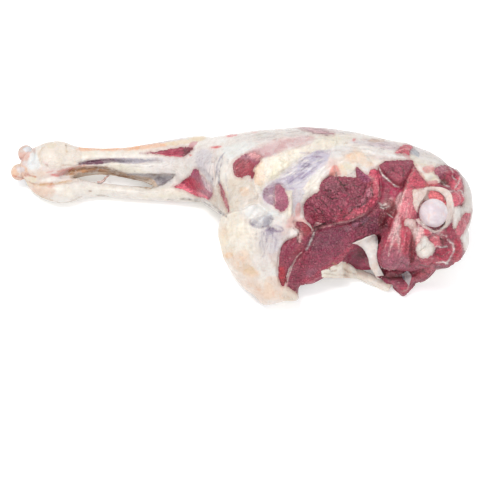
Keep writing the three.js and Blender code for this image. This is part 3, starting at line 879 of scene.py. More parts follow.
# Lumpy fat: x, y, half width, half height, turn.
LUMPY_FAT = ((238, 250, 24, 46, 0), (282, 165, 40, 12, 28), (355, 158, 22, 10, 0))


def fatness(spots):
    """Where lumpy fat lies under the membrane."""
    return np.clip(sum(spot_weight(spots, *spot) for spot in LUMPY_FAT), 0, 1)


def wander(places, size, octaves, channels):
    """Seeded unevenness in more than one direction, one column for each channel."""
    return np.stack([rough_lumps(places, size, octaves, channel) for channel in channels], 1)


LINES_WANDER = 0.9  # how far creases and outlines wander, in pixels
# Lumps in the skin: size, octaves, channel, millimetres, and millimetres more where there is lumpy fat.
SKIN_LUMPS = ((13 * MM, 3, 0, 0.45, 0.6), (5 * MM, 3, 1, 0.2, 0.3))


def relief(places, normals):
    """How far, in metres, creases, ridges, steps, swellings and lumps move each point of the skin out."""
    seen = seen_share(places, normals)
    uneven = wander(places, 6 * MM, 2, (0, 1))
    spots = in_photo(places) + LINES_WANDER * uneven
    lift = np.zeros(len(places))
    for line, deep, wide in CREASES:
        lift -= deep * nearness(spots, line, wide) * seen
    for line in CRACKS:
        lift -= CRACK_DEPTH * nearness(spots, line, CRACK_WIDTH) * seen * (0.6 + 0.8 * uneven[:, 1])
    for line, high, wide in RIDGES:
        lift += high * nearness(spots, line, wide) * seen
    for outline, high, wide in STEPS:
        lift += high * smooth(depth_inside(spots, outline), -wide / 2, wide) * seen
    for _, _, _, soft, high, outline in PATCHES:
        if high:
            lift += high * smooth(depth_inside(spots, outline), -soft / 2, soft + 1) * seen
    for x, y, wide, high, turn, rise in SWELLINGS:
        lift += rise * spot_weight(spots, x, y, wide, high, turn) * seen
    fat = fatness(spots) * seen
    for size, octaves, channel, high, higher in SKIN_LUMPS:
        lift += (high + higher * fat) * rough_lumps(places, size, octaves, channel)
    return lift * MM


def beside_bone(places):
    """1 for skin that lies right on a bone that shows, down to 0 a few millimetres from it."""
    share = np.zeros(len(places))
    for middle, radius in BONE_ENDS:
        gap = np.linalg.norm(places - middle, axis=1) - radius
        share = np.maximum(share, 1 - smooth(gap, *BESIDE_BONE))
    return share


# Places drawn over the table: where in the photograph, half width and height, and millimetres right and near.
PULLS = (
    (403, 292, 5, 6, 0, 5.5), (419, 286, 7, 5, -2.5, -4.0), (391, 288, 5, 4, 2.0, -2.5),
    (288, 296, 8, 8, 8.0, 3.0), (292, 300, 8, 7, 2.0, 4.0), (256, 299, 14, 9, 3.0, -5.0),
    (221, 240, 8, 26, -2.2, 0), (40, 196, 26, 8, -1.0, 2.6), (62, 203, 12, 6, 0, 1.6),
    (312, 280, 12, 6, 0, 2.6), (449, 267, 9, 5, 0, 2.0), (52, 141, 18, 6, 0, -1.4),
    (110, 148, 40, 4, 0, -1.0), (200, 137, 24, 5, 0, -1.6), (105, 196, 50, 4, 0, 1.0),
    (404, 145, 12, 5, 0, -2.2), (430, 147, 12, 6, 1.0, -1.4),
)


def drawn_over(places):
    spots = in_photo(places)
    places = places.copy()
    for x, y, wide, high, right, near in PULLS:
        weight = spot_weight(spots, x, y, wide, high)
        places[:, 0] += weight * right * MM
        places[:, 1] -= weight * near * MM
    return places


def sculpt(piece, places, normals, more=0.0):
    """Moves a piece's surface out by its relief, except where it clears the way for a bone."""
    bone = beside_bone(places)
    lift = (relief(places, normals) + more) * (1 - bone) - BONE_STANDS_OUT * bone
    places = places + normals * lift[:, None]
    places[:, 2] = np.maximum(places[:, 2], 0)
    move_to(piece, places)


# ---- colour by place --------------------------------------------------------------------------------------

BARE_MEAT = (
    CUT_FACE, BIG_MUSCLE, DARK_MUSCLE, SIDE_MUSCLE, FRONT_MUSCLE, HOLLOW, HIP_MEAT, RECESS, KNEE_PATCH,
    VEILED_PATCH, LANCE, CALF_WEDGE, CREASE_SLIVER, FAR_PATCH, EDGE_STREAK, SIDE_STREAK, OVAL_END,
    TOP_STREAK,
)
PALE_OVER = (HIP_FAT, RIM_BLOCK, RIM_CRESCENT, BLUE_DIAMOND, BALL_SLING, RIDGE_BLOCK, KNOB_CAP, SIDE_VEIL)

# Veils of membrane over bare meat: x, y, half width, half height, turn, strength.
VEILS = [
    (264, 151, 12, 4, 20, 0.6), (290, 145, 26, 8, 14, 0.75), (268, 192, 8, 9, 0, 0.45),
    (274, 184, 10, 4, 20, 0.5), (268, 199, 5, 4, 0, 0.6), (397, 236, 3, 14, 0, 0.3),
    (388, 204, 6, 6, 0, 0.4), (418, 200, 4, 10, 0, 0.5), (417, 236, 4, 10, 0, 0.5),
    (439, 234, 6, 4, 0, 0.4), (459, 190, 5, 8, 0, 0.4), (208, 184, 5, 10, 0, 0.6),
    (204, 176, 5, 5, 0, 0.5), (424, 149, 12, 4, -30, 0.6), (404, 150, 9, 6, 0, 0.25),
    (464, 222, 5, 12, -20, 0.25), (316, 131, 18, 3, -6, 0.6), (224, 198, 3, 12, 20, 0.4),
    (375, 186, 4, 14, 0, 0.25), (443, 170, 6, 3, 0, 0.4), (432, 238, 6, 6, 0, 0.3),
    (360, 214, 16, 4, 20, 0.2),
]
# Silver skin, whose fibres show, and the way that they run.
SILVER = [
    (300, 171, 32, 12, 36, 1.0), (264, 232, 14, 16, 0, 0.9), (268, 250, 14, 18, 0, 0.5),
    (215, 178, 14, 32, 0, 0.9), (205, 160, 14, 10, 0, 0.8), (300, 134, 70, 8, 0, 0.8),
    (390, 148, 40, 7, -12, 0.9), (450, 164, 20, 12, -40, 0.8), (120, 162, 50, 4, 0, 0.8),
    (150, 170, 40, 8, 0, 0.6), (120, 174, 40, 4, -12, 0.8), (140, 192, 70, 5, 0, 0.35),
    (296, 192, 14, 14, 40, 0.8), (240, 152, 20, 8, 30, 0.5), (460, 205, 10, 26, 0, 0.6),
    (292, 210, 10, 12, 0, 0.6), (258, 192, 8, 14, 0, 0.4), (236, 196, 10, 14, 0, 0.4),
    (166, 180, 12, 5, 0, 0.6), (110, 147, 60, 3, 0, 0.4),
]
RISING = [
    (300, 168, 40, 24, 30, 1.0), (276, 196, 14, 14, 0, 0.7), (244, 163, 18, 14, 30, 1.0),
    (280, 146, 30, 8, 16, 0.5), (420, 200, 6, 12, 0, 0.3),
]
UPRIGHT = [
    (216, 180, 16, 34, 0, 1.0), (266, 240, 18, 34, 0, 0.9), (292, 214, 12, 16, 0, 1.0),
    (402, 220, 14, 40, 10, 1.0), (236, 240, 16, 40, 0, 0.5), (300, 252, 12, 30, 30, 0.7),
    (400, 258, 24, 14, 0, 0.7), (464, 215, 10, 30, 0, 0.8), (274, 262, 10, 20, 0, 0.8),
]
# Muscle cut across its fibres, which shows as pebbles.
CROSS_CUT = [
    (340, 198, 44, 32, 0, 1.0), (366, 220, 22, 12, 20, 0.8), (445, 178, 16, 14, 0, 0.6),
    (444, 246, 18, 22, 0, 0.6), (320, 250, 36, 28, 30, 0.45), (395, 172, 16, 14, 0, 0.35),
    (425, 264, 24, 8, 0, 0.4),
]


# Lines of colour, such as seams of white tissue, and dark lines in clefts and creases that are painted shade:
# colour, width, strength, points.
LINE_TINTS = [
    (MILK, 0.8, 0.95, [(378.5, 167), (381, 172), (385, 177), (389, 181), (394, 185), (399, 187.5)]),
    (MILK, 0.96, 0.95, [(316, 229), (314, 233), (312.5, 237), (310, 242), (308, 247), (305.5, 251)]),
    (PINK, 0.8, 0.9, [(301, 252.5), (297, 257), (294, 262), (291.5, 268), (289, 274), (287, 281),
        (286, 287)]),
    # a painted highlight along the lower edge of the big muscle
    (ROSE, 0.9, 0.6, [(318, 228), (328, 225.5), (340, 222.5), (352, 220), (364, 214)]),
    (ROSE, 1.0, 0.6, [(366, 171), (370, 176), (375, 181), (379, 188), (379, 196)]),
    (MILK, 0.96, 0.9, [(379, 203), (382, 205.5), (386, 204)]),
    (MILK, 0.72, 0.8, [(380, 207), (384, 208.5), (389, 206)]),
    (MILK, 0.56, 0.8, [(387, 213), (390, 215.5), (393, 217.5)]),
    (MILK, 0.96, 0.95, [(441, 234.5), (445, 235), (447, 238), (450, 242), (453, 244), (453.5, 250),
        (451, 256), (449.5, 260), (446, 263.5)]),
    (MILK, 0.72, 0.8, [(434, 247), (438, 246.3), (442, 247), (447, 246)]),
    (MILK, 0.8, 0.8, [(437, 263), (442, 262), (448, 263.5)]),
    (MILK, 0.8, 0.7, [(418.5, 225), (417, 232), (415, 240)]),
    (PINK, 0.72, 0.7, [(430, 231), (434, 236), (437, 238)]),
    (MILK, 1.3, 0.95, [(419, 221.5), (425, 225), (430, 229.5), (436, 232), (441, 229.5), (446, 226.5),
        (450, 222)]),
    (MILK, 0.96, 0.9, [(452, 198), (453.5, 206), (453.5, 214), (451, 222)]),
    (MILK, 0.88, 0.85, [(461, 174), (459.5, 180), (457, 185), (455, 188)]),
    (MILK, 0.8, 0.85, [(449, 191), (456, 191), (461, 190.5), (463.5, 196)]),
    (MILK, 0.72, 0.8, [(436, 176), (440, 180), (444, 184.5), (449, 186.5)]),
    (MILK, 0.88, 0.8, [(463, 176), (465.5, 184), (464.5, 194), (465, 203)]),
    (MILK, 0.64, 0.6, [(450, 168), (453, 172), (452, 177), (456, 180)]),
    (PINK, 1, 0.7, [(414.5, 168), (409.5, 178), (405.5, 189), (401.5, 200), (398.5, 212), (396, 222)]),
    (PINK, 0.8, 0.7, [(397, 226), (394, 236), (391, 246), (388, 256)]),
    (PINK, 0.64, 0.6, [(407, 230), (404, 240), (401, 252)]),
    (PEARL, 1.8, 0.6, [(400, 226), (398.5, 238), (399, 250)]),
    (PINK, 0.64, 0.6, [(392, 232), (388, 240), (384, 250)]),
    (PINK, 0.64, 0.5, [(410, 200), (407, 210), (406, 218)]), (PINK, 0.72, 0.7, [(405, 276), (407, 283)]),
    (ROSE, 0.9, 0.7, [(402.5, 291.5), (407, 289.5), (409, 284)]),
    (ROSE, 0.8, 0.5, [(416, 257), (424, 260), (433, 258)]),
    (PEARL, 1.2, 0.6, [(345, 150), (358, 148), (372, 150), (386, 153), (400, 154.5)]),
    # painted shade in the deep fold of the big muscle
    (MAROON, 0.9, 0.85, [(336, 170), (336.5, 176), (339, 181), (343, 187), (346, 191)]),
    # painted shade in the crevice under the hip ball
    (MAROON, 1.2, 0.95, [(434, 228.6), (438, 228.3), (442, 226.3), (444.5, 224)]),
    (BLOOD, 1.2, 0.7, [(440.5, 180.5), (444, 183), (448, 182.5)]),
    (MAROON, 1.0, 0.8, [(383, 206), (385, 209)]),
    # painted shade along the crease under the hip, ending in a painted shadow line on the next line
    (MAROON, 1.4, 0.8, [(382, 277.5), (392, 278), (402, 274.5), (410, 272.8), (420, 271), (430, 267.8)]),
    (MAROON, 1.0, 0.7, [(434, 267.5), (440, 267.3), (447, 267.7)]),
    (MAROON, 0.9, 0.7, [(294, 228), (297.5, 233), (298.5, 238), (296, 243)]),
    (ROSE, 1.2, 0.6, [(296, 226), (300, 230), (301.5, 236), (300.5, 242)]),
    (MAROON, 0.8, 0.5, [(302, 231), (303.5, 237), (302, 243)]),
    (CRIMSON, 1.1, 0.7, [(408.5, 228), (408, 240), (405, 255)]),
    (CRIMSON, 1.2, 0.7, [(413, 228), (412.5, 245), (412, 262)]),
    (MAROON, 1.2, 0.5, [(380, 201), (381, 192), (382, 184)]),
    # the slate lines on the knee: painted shade in its creases
    (SLATE, 1.0, 0.8, [(221, 158), (218.5, 163), (217, 169), (218, 175)]),
    (ASH, 1.2, 0.8, [(213, 152), (212, 162), (212.5, 176), (214, 190)]),
    (SLATE, 0.9, 0.7, [(219, 176), (219.5, 183)]),
    (ASH, 1.0, 0.7, [(228, 160), (226, 172), (227, 186), (230, 200)]),
    # the two slate lines here: painted shade along the crease at the lower edge of the calf
    (SLATE, 1.0, 0.8, [(203, 202), (209, 205.5), (216, 210), (222, 214), (226, 216.5)]),
    (SLATE, 0.9, 0.7, [(188, 198.5), (198, 199.5), (206, 201), (211, 203)]),
    (shade(146, 142, 158), 1.5, 0.85, [(250.5, 224), (256, 226), (263, 226.5), (269, 223), (272, 218.5)]),
    (shade(108, 88, 112), 2.0, 1.0, [(268, 227.5), (270, 229), (272, 229.5)]),
    (shade(150, 134, 162), 1.2, 0.9, [(272, 229), (277, 231), (282, 231)]),
    (shade(160, 148, 170), 1.3, 0.9, [(270, 231), (268, 234.5), (267, 238)]),
    (ASH, 1.5, 0.8, [(262, 238), (262.5, 243), (264, 249)]),
    (PLUM, 1.6, 0.7, [(263, 198), (264.5, 192), (268, 187), (273, 183.5), (279, 181), (284, 179)]),
    (PLUM, 2.0, 0.9, [(269, 200.5), (271, 201.5)]),
    (PINK, 0.72, 0.8, [(268, 196.5), (271, 195.3), (274.5, 197.5), (275.5, 201.5), (274, 205)]),
    (PLUM, 0.9, 0.7, [(266.5, 189), (268, 192), (267.5, 196)]),
    (MILK, 0.72, 0.9, [(296, 168.5), (303, 169), (311, 168.5)]),
    (MILK, 0.64, 0.8, [(285, 171.5), (291, 170), (296, 170)]),
    (MILK, 0.56, 0.8, [(299, 158.5), (304, 161), (309, 160)]),
    (MILK, 0.72, 0.8, [(282, 177), (290, 174), (299, 172)]),
    (MILK, 0.64, 0.8, [(310, 165), (317, 161), (323, 159)]),
    (MILK, 0.64, 0.7, [(290, 186), (297, 183), (305, 180), (311, 177)]),
    (VIOLET, 0.7, 0.8, [(300, 164.5), (305, 163.3), (310, 164)]),
    (VIOLET, 0.8, 0.7, [(304, 158), (312, 156.5), (321, 157)]),
    (VIOLET, 0.7, 0.7, [(302, 172.5), (308, 171.5), (315, 172)]),
    (VIOLET, 0.8, 0.7, [(287, 187), (294, 188.5), (302, 187)]),
    (VIOLET, 0.8, 0.6, [(300, 152.5), (312, 153), (323, 152)]),
    (VIOLET, 0.8, 0.6, [(296, 166), (302, 166.5), (309, 166)]),
    (BLOOD, 0.9, 0.6, [(398, 149.5), (404, 147), (410, 148)]),
    (BLOOD, 0.8, 0.5, [(400, 152.5), (406, 150.5), (410, 151)]),
    (PINK, 0.7, 0.7, [(397, 151), (403, 149), (409, 149.5)]),
    (shade(150, 146, 160), 1.2, 0.85, [(251, 222), (253, 225.5), (257, 227)]),
    (shade(186, 184, 190), 1.4, 0.8, [(258, 217), (264, 215.5), (270, 216)]),
    (shade(168, 158, 176), 1.0, 0.8, [(262, 232), (266, 236), (267, 242)]),
    (shade(176, 166, 186), 1.2, 0.7, [(273, 236), (276, 241), (275, 248)]),
    (shade(180, 172, 186), 1.0, 0.7, [(263, 246), (264.5, 251), (263, 256)]),
    (shade(166, 152, 176), 1.0, 0.7, [(276, 225), (281, 227), (284, 231)]),
    (SLATE, 1.2, 0.8, [(372, 236), (376, 238), (377, 243)]),
    (BROWN, 1.2, 0.9, [(333, 263), (337, 265.5), (342, 264)]),
    (BROWN, 1.0, 0.8, [(329, 268), (331, 271), (336, 270.5)]),
    (BROWN, 0.8, 0.7, [(344, 269), (348, 272), (355, 274)]),
    (BROWN, 0.7, 0.6, [(324, 273), (334, 274.5), (346, 275.5)]),
    (shade(206, 132, 116), 1.0, 0.9, [(19.5, 158.5), (22, 160.5), (22.5, 163)]),
    (shade(214, 110, 96), 0.8, 0.95, [(13, 175.5), (17, 177), (21, 178)]),
    (shade(214, 110, 96), 0.7, 0.9, [(22, 178), (21.4, 181), (21, 184)]),
    (shade(206, 128, 84), 0.7, 0.9, [(27.5, 174), (31, 175.4), (35.5, 176.8)]),
    (shade(212, 164, 118), 0.8, 0.9, [(34, 184.8), (42, 184.6), (50, 184), (60, 182.4), (72, 180.6)]),
    (shade(204, 118, 100), 1.0, 0.9, [(50, 184.6), (52, 183.8), (54, 184.6)]),
    (shade(232, 150, 136), 0.8, 0.8, [(48, 186), (51, 187), (55, 186)]),
    (shade(232, 140, 128), 0.8, 0.9, [(52, 174.4), (56, 176), (61, 175), (66, 172.4), (72, 169.6)]),
    (shade(218, 150, 130), 0.8, 0.8, [(58, 171.4), (66, 168.8), (76, 167), (86, 165.4)]),
    (shade(148, 120, 84), 0.8, 0.95, [(65.4, 145.4), (66.2, 147)]),
    (shade(214, 190, 150), 0.7, 0.8, [(66, 148), (67, 152)]),
    (shade(178, 124, 108), 0.9, 1.0, [(46, 165.2), (47, 165.8)]),
    (shade(206, 178, 160), 0.6, 0.8, [(73.5, 157.4), (75, 156.6), (76.6, 157.8), (75, 159)]),
    (shade(206, 178, 160), 0.6, 0.8, [(78, 157.8), (79.6, 157.2), (80.4, 158.8)]),
    (shade(244, 190, 186), 1.0, 0.7, [(43, 162), (46, 163.4), (48, 164.6)]),
    (shade(196, 176, 150), 0.8, 0.85, [(22, 188), (30, 192), (40, 196.4), (52, 200.6)]),
    (shade(196, 186, 168), 0.8, 0.8, [(56, 202.6), (64, 203), (72, 200.4), (82, 196.6)]),
    (shade(190, 160, 140), 0.7, 0.9, [(89.4, 191.2), (91.4, 191.4)]),
    (shade(178, 170, 160), 0.7, 0.8, [(96, 195.4), (108, 197), (122, 199), (134, 200.4)]),
    (shade(232, 190, 168), 0.8, 0.8, [(20, 146.6), (17.4, 151), (19, 156)]),
    (shade(226, 160, 146), 0.9, 0.9, [(21, 158), (25, 158.6), (29, 156.6)]),
    (shade(230, 160, 164), 1.0, 0.8, [(311, 233), (314, 229.6), (320, 227.8), (330, 226)]),
    (SCARLET, 1.0, 0.9, [(228, 136.8), (232, 136), (236, 135.2)]),
    (SCARLET, 1.0, 0.9, [(212, 147.8), (216, 147.4), (220, 146.6)]),
    (MILK, 0.9, 0.7, [(251, 223), (257, 217.5), (266, 213)]),
    (ICE, 0.8, 0.7, [(256, 226), (262, 219.4), (271, 213.6)]),
    (PEARL, 0.8, 0.6, [(252, 216), (260, 213), (268, 211.6)]),
    (shade(190, 186, 204), 0.9, 0.6, [(254, 220), (258, 223), (264, 224)]),
    (CORAL, 1.2, 0.9, [(425, 185), (431, 185.6), (437, 184)]),
    (TAN, 1.1, 0.9, [(18, 159.5), (21.5, 163), (17, 165)]),
    (shade(196, 110, 74), 1.3, 0.95, [(24.3, 175.5), (25.3, 172.8), (27.5, 174)]),
    (shade(96, 62, 78), 0.9, 0.9, [(84, 163.9), (94, 163.8), (104, 163), (112, 161.4), (124, 161.3)]),
    (shade(134, 92, 66), 0.8, 0.95, [(64, 174.5), (72, 171), (80, 169.4), (92, 168.2), (100, 167.4),
        (110, 169.3), (120, 172.6)]),
    (shade(148, 102, 72), 0.8, 0.95, [(78, 174), (88, 172.6), (97, 170.8), (106, 171.6), (116, 174.6),
        (126, 177)]),
    (shade(222, 160, 116), 0.9, 0.9, [(70, 174.6), (78, 171.4), (88, 170.6), (96, 169.4), (104, 170)]),
    (shade(122, 88, 108), 1.0, 0.9, [(90, 161.6), (100, 160.2), (112, 159.8), (126, 159.8)]),
    (shade(150, 100, 68), 0.8, 0.9, [(67, 171), (72, 170.2), (74, 173.5), (70, 174.6)]),
    (shade(158, 110, 76), 0.9, 0.9, [(88, 171.7), (94, 170.5), (100, 167.8), (107, 167.6)]),
    (shade(168, 124, 92), 0.7, 0.9, [(104, 167.6), (109, 169.6), (114, 169)]),
    (shade(166, 138, 116), 0.8, 0.8, [(109, 171.4), (118, 174.6), (127, 177), (136, 180)]),
    (shade(168, 150, 132), 0.8, 0.8, [(120, 174), (134, 174.4), (148, 175.4), (156, 175)]),
    (shade(150, 122, 96), 0.9, 0.8, [(136, 185), (142, 187.2), (150, 187.6), (158, 186.2)]),
    # the dark lower edge of the web under the shank: painted shade
    (shade(112, 104, 98), 0.8, 0.9, [(174.5, 175.2), (172, 178), (168, 181.3), (163, 184.3),
        (158, 184.9)]),
    (CORAL, 0.8, 0.85, [(53, 174.6), (57, 175.6), (63, 174), (68, 171.6)]),
    (CORAL, 0.6, 0.7, [(58, 171.5), (66, 169.6), (76, 168.6)]),
    (MAUVE, 1.0, 0.6, [(140, 152.9), (150, 153)]),
    # painted shade along the crease at the lower edge of the calf
    (shade(126, 114, 104), 1.0, 0.8, [(168, 199.6), (183, 199), (192, 200), (201, 202.6), (212, 205.6),
        (220, 211), (226, 216.5)]),
    # the slate lines here: painted shade in the knee's creases
    (SLATE, 0.8, 0.8, [(224.5, 153), (221, 157.5), (219, 162)]),
    (SLATE, 0.8, 0.8, [(221.5, 165), (219, 169), (220, 172)]),
    (SLATE, 0.9, 0.8, [(219.3, 178), (218.4, 184)]),
    (ASH, 0.8, 0.7, [(216, 158), (214.5, 166), (215.5, 176)]),
    (ASH, 0.8, 0.7, [(209, 152), (205, 160), (204, 168)]),
    (ASH, 0.7, 0.7, [(200, 152), (197, 157), (196, 160)]),
    (ASH, 0.8, 0.8, [(366, 155), (374, 155.6), (380, 155)]),
    (ASH, 0.8, 0.8, [(380, 159), (386, 158.5), (392, 158)]), (ASH, 0.7, 0.8, [(393, 159), (400, 158.8)]),
    (ASH, 0.8, 0.8, [(330, 152), (338, 151), (344, 152)]), (ASH, 0.8, 0.7, [(345, 131), (356, 132)]),
    (BROWN, 0.8, 0.6, [(344.5, 143), (347, 143)]), (ASH, 1.0, 0.8, [(426, 154), (430, 154.5)]),
    (MAUVE, 1.4, 0.9, [(302, 127.5), (311, 129.5), (320, 131), (328, 132.5)]),
    (PLUM, 1.0, 0.7, [(313, 132), (320, 133.5), (327, 135)]),
    (ASH, 0.8, 0.8, [(268, 134), (280, 134.5), (295, 135)]),
    (ASH, 0.8, 0.7, [(286, 130), (296, 131), (306, 133)]),
    (ASH, 0.8, 0.7, [(236, 141), (246, 138), (256, 136)]),
    (BROWN, 0.7, 0.6, [(257, 192), (258, 196), (257, 199)]),
    (ASH, 1.0, 0.6, [(240, 204), (250, 200), (258, 197)]),
    (PEARL, 1.0, 0.6, [(150, 160.5), (165, 160), (178, 160.5)]),
    (PLUM, 1.3, 0.9, [(80, 164), (86, 162.6), (95, 162), (104, 162.4)]),
    (SLATE, 1.2, 0.7, [(122, 160.3), (132, 160.3), (142, 160.2), (152, 160.5)]),
    (BROWN, 1.0, 0.85, [(64, 175), (68, 172.5), (73, 171.5), (80, 169.5), (86, 168)]),
    (BROWN, 1.0, 0.8, [(86, 171.5), (92, 170.6), (98, 169), (104, 168.4), (110, 169.5)]),
    (BROWN, 0.8, 0.6, [(110, 172), (118, 174), (127, 176.5), (136, 180.5), (146, 185)]),
    (SLATE, 0.9, 0.7, [(128, 174.5), (140, 174.2), (152, 175.5)]),
    (TAN, 1.2, 0.7, [(36, 186), (44, 185), (52, 184.5), (60, 182.6), (70, 181.4)]),
    (RUST, 0.9, 0.7, [(14, 175.5), (18, 177), (23, 178)]),
    (RUST, 0.8, 0.7, [(26, 173), (30, 175.5), (35, 177)]),
    (RUST, 0.8, 0.6, [(23, 178), (27, 181), (34, 184)]),
    (TAN, 0.9, 0.7, [(52, 143.5), (45, 146.5), (40, 152), (39.5, 160), (42, 166)]),
    (TAN, 0.8, 0.5, [(46, 143.5), (52, 145), (58, 143)]),
    (TAN, 0.8, 0.6, [(20, 186), (32, 192), (42, 197), (52, 201)]),
    (CORAL, 0.8, 0.6, [(46, 172.5), (54, 171), (62, 171.5), (70, 169.5)]),
    (BROWN, 0.7, 0.5, [(60, 166), (66, 165), (74, 165.5), (80, 164)]),
]


